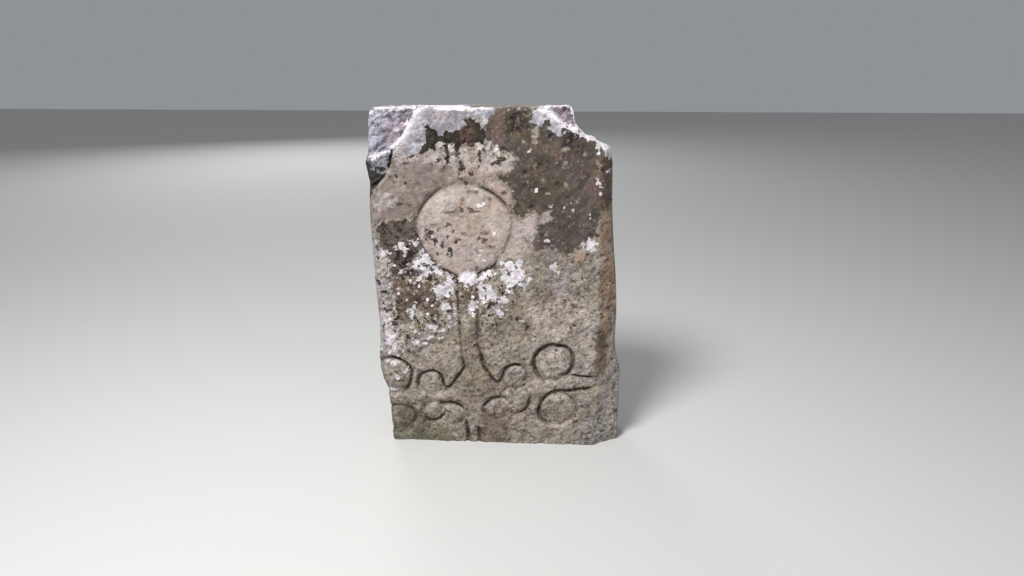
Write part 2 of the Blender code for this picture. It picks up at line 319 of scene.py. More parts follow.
# each stroke: its line, its width and its depth in centimetres
strokes = [
    ([
        (-12.8, 69.3), (-14.2, 68.6), (-15.6, 67.4), (-16.9, 66.1), (-18.2, 64.6), (-19.2, 62.6),
        (-19.7, 60.6),
    ], 1.0, 0.46),
    ([
        (-19.9, 59.6), (-20.1, 58.2), (-19.6, 56.6), (-18.9, 54.8), (-17.9, 53.0), (-16.4, 50.9),
        (-14.8, 49.3),
    ], 0.9, 0.55),
    ([
        (-15.2, 49.6), (-13.8, 48.5), (-12.2, 47.7), (-11.0, 47.1), (-10.3, 46.4), (-10.1, 45.2),
        (-10.3, 44.0),
    ], 1.1, 0.75),
    ([
        (-4.8, 69.6), (-3.0, 68.9), (-1.4, 68.1), (0.0, 67.1), (1.2, 66.0), (2.1, 64.8), (2.8, 63.5),
    ], 1.1, 0.70),
    ([
        (2.8, 63.5), (3.4, 62.0), (3.6, 60.4), (3.4, 58.6), (2.8, 56.6), (1.9, 54.4), (1.0, 52.6),
        (0.2, 51.2),
    ], 1.1, 0.32),
    ([
        (0.2, 51.2), (-0.6, 50.0), (-1.6, 49.1), (-3.0, 48.5), (-4.2, 48.0), (-4.9, 47.2), (-5.1, 45.8),
        (-5.0, 44.2),
    ], 1.1, 0.65),
    ([
        (-10.3, 44.0), (-10.1, 40), (-9.9, 36), (-9.8, 32), (-9.6, 28), (-9.4, 24.4), (-9.1, 21.8),
    ], 1.0, 0.42),
    ([
        (-5.0, 44.2), (-5.2, 40), (-5.2, 35.4), (-5.2, 31), (-5.3, 28.4), (-4.7, 26.4), (-4.2, 24.6),
        (-4.0, 22.6),
    ], 1.2, 0.52),
    ([
        (-9.4, 25.0), (-9.2, 23.2), (-8.9, 21.9), (-9.6, 20.8), (-10.8, 19.1), (-11.8, 17.5), (-12.6, 16.4),
        (-13.4, 15.9), (-14.2, 16.2), (-14.6, 17.2), (-14.8, 18.4), (-15.4, 19.6), (-16.3, 20.4),
        (-17.4, 20.7), (-18.7, 20.5), (-20.0, 19.8), (-20.9, 18.8), (-21.3, 17.4), (-21.2, 16.2),
        (-20.9, 15.1),
    ], 1.15, 0.80),
    ([
        (-4.8, 26.6), (-4.3, 24.8), (-4.0, 22.8), (-3.4, 21.4), (-2.4, 20.1), (-1.6, 19.0), (-0.9, 18.2),
        (-0.1, 17.9), (0.6, 18.3), (1.0, 19.2), (1.4, 20.6), (2.0, 21.8), (2.9, 22.6), (4.1, 23.0),
        (5.3, 23.0), (6.8, 22.4),
    ], 1.3, 0.90),
    ([(7.2, 21.6), (7.4, 20.0), (7.2, 18.2)], 1.2, 0.62),
    ([
        (-29.4, 24.2), (-28.0, 24.3), (-26.4, 23.8), (-24.8, 23.0), (-23.5, 21.9), (-23.0, 20.4),
        (-23.1, 18.6), (-23.6, 16.8), (-24.4, 15.2), (-25.8, 14.1),
    ], 1.3, 0.85),
    ([(-28.8, 21.0), (-28.4, 19.4), (-27.8, 18.0)], 0.7, 0.30),
    ([
        (11.9, 18.3), (10.9, 19.4), (10.0, 20.9), (9.4, 22.5), (9.2, 24.0), (9.6, 25.6), (10.5, 27.0),
        (11.6, 28.0), (12.9, 28.6), (14.2, 28.8), (15.6, 28.5), (16.9, 28.5), (18.0, 27.9), (18.9, 26.9),
        (19.3, 25.6), (19.4, 24.0), (19.1, 22.4), (18.3, 20.9), (17.0, 19.4),
    ], 1.45, 0.85),
    ([(18.2, 20.6), (19.6, 20.5), (21.2, 20.3), (22.8, 20.2), (24.2, 20.2), (25.2, 20.1)], 0.9, 0.85),
    ([
        (25.0, 17.6), (24.0, 17.0), (22.4, 16.6), (20.6, 16.3), (18.8, 16.1), (16.8, 15.9), (15.0, 15.7),
        (13.6, 15.1), (12.6, 14.2), (11.8, 13.0), (11.2, 11.8), (10.8, 10.4), (10.7, 8.8), (11.2, 7.6),
        (12.2, 6.6), (13.8, 5.8),
    ], 1.35, 0.85),
    ([(15.6, 15.0), (17.6, 14.9), (19.4, 13.8), (20.4, 12.2), (20.6, 10.2), (20.0, 8.4)], 1.3, 0.30),
    ([
        (-16.4, 10.8), (-15.4, 11.1), (-14.2, 11.4), (-12.8, 11.6), (-11.6, 11.3), (-10.6, 10.7),
        (-9.6, 9.9), (-8.8, 9.5),
    ], 1.1, 0.85),
    ([
        (-14.2, 8.9), (-14.8, 7.7), (-15.8, 6.6), (-17.0, 6.0), (-18.3, 5.7), (-19.4, 6.1), (-19.9, 7.0),
    ], 1.1, 0.75),
    ([(-24.8, 10.7), (-23.6, 9.8), (-22.8, 8.8), (-22.4, 7.2), (-22.8, 5.6), (-23.8, 4.2)], 1.3, 0.55),
    ([(-27.0, 6.6), (-25.6, 6.3), (-24.8, 5.3), (-24.6, 4.0), (-25.2, 2.6)], 0.9, 0.45),
    ([
        (-4.6, 9.9), (-3.8, 10.9), (-2.8, 11.9), (-1.8, 12.8), (-0.6, 13.3), (0.6, 13.4), (1.6, 13.1),
        (2.4, 12.8),
    ], 1.25, 0.80),
    ([
        (8.5, 14.8), (8.4, 13.6), (8.0, 12.4), (7.9, 11.2), (7.4, 10.2), (6.6, 9.5), (5.4, 9.0), (4.2, 8.8),
    ], 1.1, 0.68),
    ([(-9.2, 6.8), (-8.7, 5.8), (-8.4, 4.2), (-8.3, 2.4), (-8.3, -1)], 1.5, 0.90),
    ([(-5.8, 5.2), (-5.3, 3.4), (-5.2, 1.6), (-5.1, -1)], 1.5, 0.80),
    ([(-24.0, 25.2), (-20.4, 26.6), (-16.4, 28.6), (-12.0, 29.4)], 1.2, 0.20),
]

cut = {
    "spread": 0.86,  # share of a stroke's width that is cut
    "fade": 0.018,  # run-out at a stroke's ends
    "shoulder": 0.0022,  # how far the face sinks beside a cut
    "shoulderWidth": 0.013,
    "domeDrop": 0.0082,  # fall of a round part from its middle to its edge
    "rough": 0.0012,  # wander of a cut's sides
    "pecks": 0.0014,  # tool marks along the slant
    "pecksFine": 0.0007,
}


def faceLine(points, spacing=0.006):  # a smooth line in metres through places in centimetres
    return smoothLine(np.array(points) / 100, spacing)


def slabSides(spacing=0.006):  # the left side, the top and the right side
    return [faceLine(slab[side], spacing) for side in ("leftSide", "top", "rightSide")]


def signedReach(spots, edge, end):  # distance from the break's edge, above zero on the broken side
    line = faceLine(edge)
    gap = lineDistance(spots, line)[0]
    shape = np.vstack((line, np.array(end) / 100))
    return np.where(insideShape(spots, shape), gap, -gap)


# a cut is depth * (1 - (gap / half width)^2)^0.8 across its line, eased out at the line's ends,
# and its soft rim is a bell curve of the gap
def cutDepth(spots, lines, jitter, shoulderWidth):
    core = np.zeros(len(spots))
    soft = np.zeros(len(spots))
    for points, width, depth in lines:
        line = faceLine(points)
        near = nearShape(spots, line, 0.045)
        if len(near) == 0:
            continue
        gap, along, length = lineDistance(spots[near], line)
        half = cut["spread"] * width / 200 * (1 + 0.25 * jitter[near])
        fade = 0.12 + 0.88 * smoothStep(0, cut["fade"], np.minimum(along, length - along))
        gap = gap + cut["rough"] * jitter[near]
        shape = np.clip(1 - (gap / half) ** 2, 0, 1) ** 0.8
        core[near] = np.maximum(core[near], fade * depth / 100 * shape)
        weight = min(depth / 0.6, 1.0)
        rim = weight * fade * np.exp(-((np.maximum(gap, 0) / shoulderWidth) ** 2))
        soft[near] = np.maximum(soft[near], rim)
    return core, soft


def facePieces(spots):  # every part of the face's depth, for its shape and for its dirt, painted shade and painted highlight
    flat = np.column_stack((spots[:, 0], np.zeros(len(spots)), spots[:, 1]))
    fromLeft, fromTop, fromRight = (lineDistance(spots, side)[0] for side in slabSides())
    small = layeredNoise(flat, 0.016, 3, 11)
    wobble = layeredNoise(flat, 0.05, 3, 5)
    head = np.clip(spots[:, 1] / cadHigh[2], 0, 1)

    leftShare = np.clip(1 - fromLeft / (slab["leftChamfer"] * (1 + 0.35 * wobble)), 0, 1)
    leftEdge = slab["leftChamferDepth"] * (1 - np.sqrt(1 - leftShare**2 * 0.999))
    rightWidth = slab["rightChamferFoot"] + (slab["rightChamferHead"] - slab["rightChamferFoot"]) * head
    rightShare = np.clip(1 - fromRight / rightWidth, 0, 1)
    hollow = (rightShare**2 + 0.01) ** 0.3 - 0.01**0.3
    bulge = 1 - np.sqrt(1 - rightShare**2 * 0.999)
    rightEdge = slab["rightChamferDepth"] * (head * bulge + (1 - head) * hollow)
    topRadius = slab["topRounding"] * (1 + 0.5 * wobble)
    topShare = np.clip(1 - fromTop / topRadius, 0, 1)
    topEdge = topRadius * (1 - np.sqrt(1 - topShare**2 * 0.98))

    tilted = np.column_stack((spots @ (0.8, 0.6), np.zeros(len(spots)), spots @ (-0.6, 0.8) * 1.3))
    creases = 1 - np.clip(np.abs(layeredNoise(tilted, breaks["cobbleSize"], 3, 29)) * 2.4, 0, 1)
    cobbles = breaks["cobbleDepth"] * creases**1.5
    jitter = np.clip(layeredNoise(flat, 0.011, 2, 23), -1, 1)
    cleft = cutDepth(spots, clefts, jitter, 0.006)[0]
    reach = signedReach(spots, breaks["left"], breaks["leftEnd"]) + 0.0022 * small
    deepEdge = breaks["left"][: breaks["deepPart"]] + breaks["ridge"]
    deep = signedReach(spots, deepEdge, breaks["ridgeEnd"]) + 0.0020 * small
    ridgeGap = lineDistance(spots, faceLine(breaks["ridge"]))[0]
    chunk = breaks["chunkDepth"] + breaks["chunkTilt"] * smoothStep(0.002, 0.050, ridgeGap) + 0.8 * cobbles
    chunk = chunk * smoothStep(0, breaks["chunkBevel"], reach)
    bed = breaks["leftDepth"] + 0.004 * wobble + cobbles - breaks["cobbleDepth"] * 0.5
    bed = bed * smoothStep(-0.001, breaks["leftBevel"], deep) ** 0.8
    leftBreak = np.maximum(chunk, bed) + cleft * (reach > -0.004)
    rightReach = signedReach(spots, breaks["right"], breaks["rightEnd"]) + 0.0018 * small
    rightBreak = breaks["rightDepth"] + 0.003 * wobble + 0.6 * cobbles
    rightBreak = rightBreak * smoothStep(-0.001, breaks["rightBevel"], rightReach) ** 0.8
    rightBreak = rightBreak + cleft * (rightReach > 0)

    core, soft = cutDepth(spots, strokes, jitter, cut["shoulderWidth"])
    whole = smoothStep(0.006, -0.006, reach) * smoothStep(0.40, 0.05, rightShare)
    dome, light = np.zeros(len(spots)), np.zeros(len(spots))
    for x, z, radius in roundParts:
        far = np.hypot(spots[:, 0] - x / 100, spots[:, 1] - z / 100) / (radius / 100)
        drop = cut["domeDrop"] * (0.35 if radius > 10 else 1.0)
        dome = np.maximum(dome, drop * far**2.2 * smoothStep(1.12, 0.94, far))
        # painted highlight: the upper left of each round part's ring, where light from above falls, as a
        # share for the colour
        rise = (spots[:, 1] - z / 100 - 0.4 * (spots[:, 0] - x / 100)) / (radius / 100)
        ring = smoothStep(0.35, 0.85, far) * smoothStep(1.02, 0.90, far)
        light = np.maximum(light, ring * smoothStep(0.1, 0.9, rise))
    carving = whole * (core + cut["shoulder"] * soft + dome * (1 - 0.5 * np.clip(core / 0.005, 0, 1)))

    wave = slab["wave"] * (1 + layeredNoise(flat, slab["waveSize"], 2, 3))
    wave = wave + slab["ripple"] * (1 + layeredNoise(flat, slab["rippleSize"], 2, 7))
    pitNoise = layeredNoise(flat, slab["pitSize"], 2, 41)
    pits = slab["pits"] * smoothStep(0.55, 0.95, pitNoise)
    pits = pits + slab["deepPits"] * smoothStep(0.95, 1.3, pitNoise)
    drawn = np.column_stack((spots @ (0.80, 0.60) * 0.45, np.zeros(len(spots)), spots @ (-0.60, 0.80)))
    pecks = cut["pecks"] * (1 + layeredNoise(drawn, 0.012, 2, 17))
    pecks = pecks + cut["pecksFine"] * (1 + valueNoise(flat, 0.0065, 19))
    pecks = pecks * (0.65 + 0.55 * smoothStep(0.50, 0.35, spots[:, 1]))
    broken = np.maximum(leftBreak, rightBreak)
    depth = np.maximum(broken, topEdge + leftEdge + rightEdge) + carving + wave + pits + pecks
    return {
        "depth": depth, "core": core * whole, "cleft": cleft, "creases": creases, "reach": reach,
        "rightReach": rightReach, "pits": pits, "fromTop": fromTop, "light": light,
    }


# the four corners blended in straight lines, plus each edge's bend times the cube of its nearness
def coons(bottom, right, top, left, across, upward):
    across, upward = across[None, :, None], upward[:, None, None]
    corners = (bottom[0], bottom[-1], top[0], top[-1])
    flat = (1 - across) * (1 - upward) * corners[0] + across * (1 - upward) * corners[1]
    flat = flat + (1 - across) * upward * corners[2] + across * upward * corners[3]
    along, rise = across[0], upward[:, 0]
    bendBottom = bottom - ((1 - along) * corners[0] + along * corners[1])
    bendTop = top - ((1 - along) * corners[2] + along * corners[3])
    bendLeft = left - ((1 - rise) * corners[0] + rise * corners[2])
    bendRight = right - ((1 - rise) * corners[1] + rise * corners[3])
    sheet = flat + bendBottom[None] * (1 - upward) ** 3 + bendTop[None] * upward**3
    return sheet + bendLeft[:, None] * (1 - across) ** 3 + bendRight[:, None] * across**3


def backPlace(spots):  # rough back, only ever inside its outermost plane
    flat = np.column_stack((spots[:, 0], np.ones(len(spots)), spots[:, 1]))
    swell = slab["backWave"] * (0.5 + 0.5 * np.clip(layeredNoise(flat, 0.26, 2, 61), -1, 1))
    chips = slab["backChips"] * (1 + layeredNoise(flat, 0.05, 4, 67))
    steps = slab["backSteps"] * smoothStep(-0.05, 0.05, layeredNoise(flat, 0.16, 3, 71))
    return slab["thickness"] / 2 - swell - chips - steps


def makeRim(front, frontDepth, footCount):  # rings from the face's edge to the back's, worn along the beds
    ahead = np.roll(front, -3, axis=0) - np.roll(front, 3, axis=0)
    inward = np.column_stack((-ahead[:, 1], ahead[:, 0]))
    inward /= np.linalg.norm(inward, axis=1, keepdims=True)
    kernel = np.hanning(15) / np.hanning(15).sum()
    padded = np.vstack((inward[-7:], inward, inward[:7]))
    inward = np.column_stack([np.convolve(padded[:, i], kernel, "valid") for i in (0, 1)])
    inward[:, 1] = np.where(front[:, 1] < 0.02, 0, inward[:, 1])
    backEdge = slab["thickness"] / 2 - 0.006
    shares = np.sin(np.linspace(0, math.pi / 2, slab["rimSteps"] + 1)) ** 1.15
    lost = smoothStep(0.176, 0.186, front[:, 0]) * smoothStep(0.58, 0.775, front[:, 1])
    rings = []
    for share in shares:
        y = frontDepth + (backEdge - frontDepth) * share
        turn = np.clip((y - (backEdge - slab["backRounding"])) / slab["backRounding"], 0, 1)
        inset = slab["backRounding"] * (1 - np.sqrt(1 - turn**2 * 0.98))
        solid = np.column_stack((front[:, 0], y, front[:, 1]))
        beds = layeredNoise(solid * (0.25, 1.0, 0.25), 0.012, 3, 81)
        lumps = layeredNoise(solid, 0.06, 4, 83)
        wear = 0.5 * (1 + np.clip(beds, -1, 1)) + 0.5 * (1 + np.clip(lumps, -1, 1))
        inset = inset + smoothStep(0, 0.10, share) * slab["sideWear"] * wear
        drop = slab["cornerFall"] * share * lost
        place = front + inward * inset[:, None] - np.column_stack((np.zeros(len(front)), drop))
        place[: footCount + 1, 1] = 0
        run = np.linspace(0, 1, footCount + 1)[:, None]
        place[: footCount + 1] = place[0] + (place[footCount] - place[0]) * run
        rings.append(np.column_stack((place[:, 0], y, place[:, 1])))
    return rings


def gridQuads(index):  # each point with its neighbours to the right, above right and above
    corners = (index[:-1, :-1], index[:-1, 1:], index[1:, 1:], index[1:, :-1])
    return np.column_stack([corner.ravel() for corner in corners])


def edgeLoop(index):  # along the foot, up the right side, back along the top and down the left side
    return np.concatenate((index[0, :-1], index[:-1, -1], index[-1, :0:-1], index[:0:-1, 0]))


# the face is the sheet between its foot, top and two sides, pushed back by its depth; the rim is a
# profile carried round its edge, and the back is a second sheet between the rim's last ring
def makeStoneShape():
    across, upward = slab["acrossSteps"], slab["upSteps"]
    acrossShares = np.linspace(0, 1, across + 1)
    # closer rows in the carved foot
    upShares = np.interp(np.linspace(0, 1, upward + 1), (0, 0.44, 1), (0, 0.36, 1))
    left, top, right = slabSides(0.002)
    left, right, top = lineAt(left, upShares), lineAt(right, upShares), lineAt(top, acrossShares)
    foot = np.column_stack((left[0, 0] + (right[0, 0] - left[0, 0]) * acrossShares, np.zeros(across + 1)))
    spots = coons(foot, right, top, left, acrossShares, upShares).reshape(-1, 2)
    depth = facePieces(spots)["depth"] - slab["thickness"] / 2
    index = np.arange(len(spots)).reshape(upward + 1, across + 1)
    loop = edgeLoop(index)
    rings = makeRim(spots[loop], depth[loop], across)

    # past the fine rings every second point is left out, and the back is a grid half as fine
    coarse = [ring[::2] for ring in rings[slab["fineRings"] + 1 :]]
    half, rise = across // 2, upward // 2
    edge = coarse[-1][:, ::2]
    closed = np.vstack((edge, edge[:1]))
    backFoot, backRight = closed[: half + 1], closed[half : half + rise + 1]
    backTop, backLeft = closed[half + rise : 2 * half + rise + 1][::-1], closed[2 * half + rise :][::-1]
    back = coons(backFoot, backRight, backTop, backLeft, acrossShares[::2], upShares[::2]).reshape(-1, 2)
    backIndex = np.arange(len(back)).reshape(rise + 1, half + 1)
    backLoop = edgeLoop(backIndex)
    fromEdge = lineDistance(back, closed)[0]
    edgeY = coarse[-1][:, 1].mean()
    backY = edgeY + (backPlace(back) - edgeY) * smoothStep(0, 0.012, fromEdge)
    backY[backLoop] = coarse[-1][:, 1]

    face = np.column_stack((spots[:, 0], depth, spots[:, 1]))
    places = [face] + rings[1 : slab["fineRings"] + 1] + coarse[:-1]
    starts = np.cumsum([0] + [len(part) for part in places])
    places = np.vstack(places + [np.column_stack((back[:, 0], backY, back[:, 1]))])
    places = np.clip(places, cadLow + 0.0001, cadHigh - 0.0001)
    places[places[:, 2] < 0.0002, 2] = 0

    between = [np.arange(start, end) for start, end in zip(starts[1:], starts[2:])]
    loops = [loop] + between + [starts[-1] + backLoop]
    quads, wedges = [gridQuads(index), starts[-1] + gridQuads(backIndex)[:, ::-1]], []
    for near, far in zip(loops, loops[1:]):
        after = np.roll(near, -1)
        if len(near) == len(far):
            quads.append(np.column_stack((after, near, far, np.roll(far, -1))))
        else:
            first, middle, last = near[::2], near[1::2], np.roll(near, -2)[::2]
            wedges.append(np.column_stack((middle, first, far)))
            wedges.append(np.column_stack((last, middle, np.roll(far, -1))))
            wedges.append(np.column_stack((middle, far, np.roll(far, -1))))
    return places, np.vstack(quads), np.vstack(wedges)


def fillMesh(name, places, quads, wedges):  # all corners in one row, the quads' first and then the wedges'
    mesh = bpy.data.meshes.new(name)
    mesh.vertices.add(len(places))
    mesh.vertices.foreach_set("co", places.astype(np.float32).ravel())
    corners = np.concatenate((quads.ravel(), wedges.ravel())).astype(np.int32)
    mesh.loops.add(len(corners))
    mesh.loops.foreach_set("vertex_index", corners)
    starts = np.concatenate((np.arange(0, quads.size, 4), quads.size + np.arange(0, wedges.size, 3)))
    mesh.polygons.add(len(starts))
    mesh.polygons.foreach_set("loop_start", starts.astype(np.int32))
    mesh.update(calc_edges=True)
    mesh.validate()
    return mesh


stonePlaces, stoneQuads, stoneWedges = makeStoneShape()
stoneMesh = fillMesh("carvedStone", stonePlaces, stoneQuads, stoneWedges)
carvedStone = bpy.data.objects.new("carvedStone", stoneMesh)
bpy.context.scene.collection.objects.link(carvedStone)
carvedStone.data.shade_smooth()
print("stone shaped:", 2 * len(stoneQuads) + len(stoneWedges), "triangles")
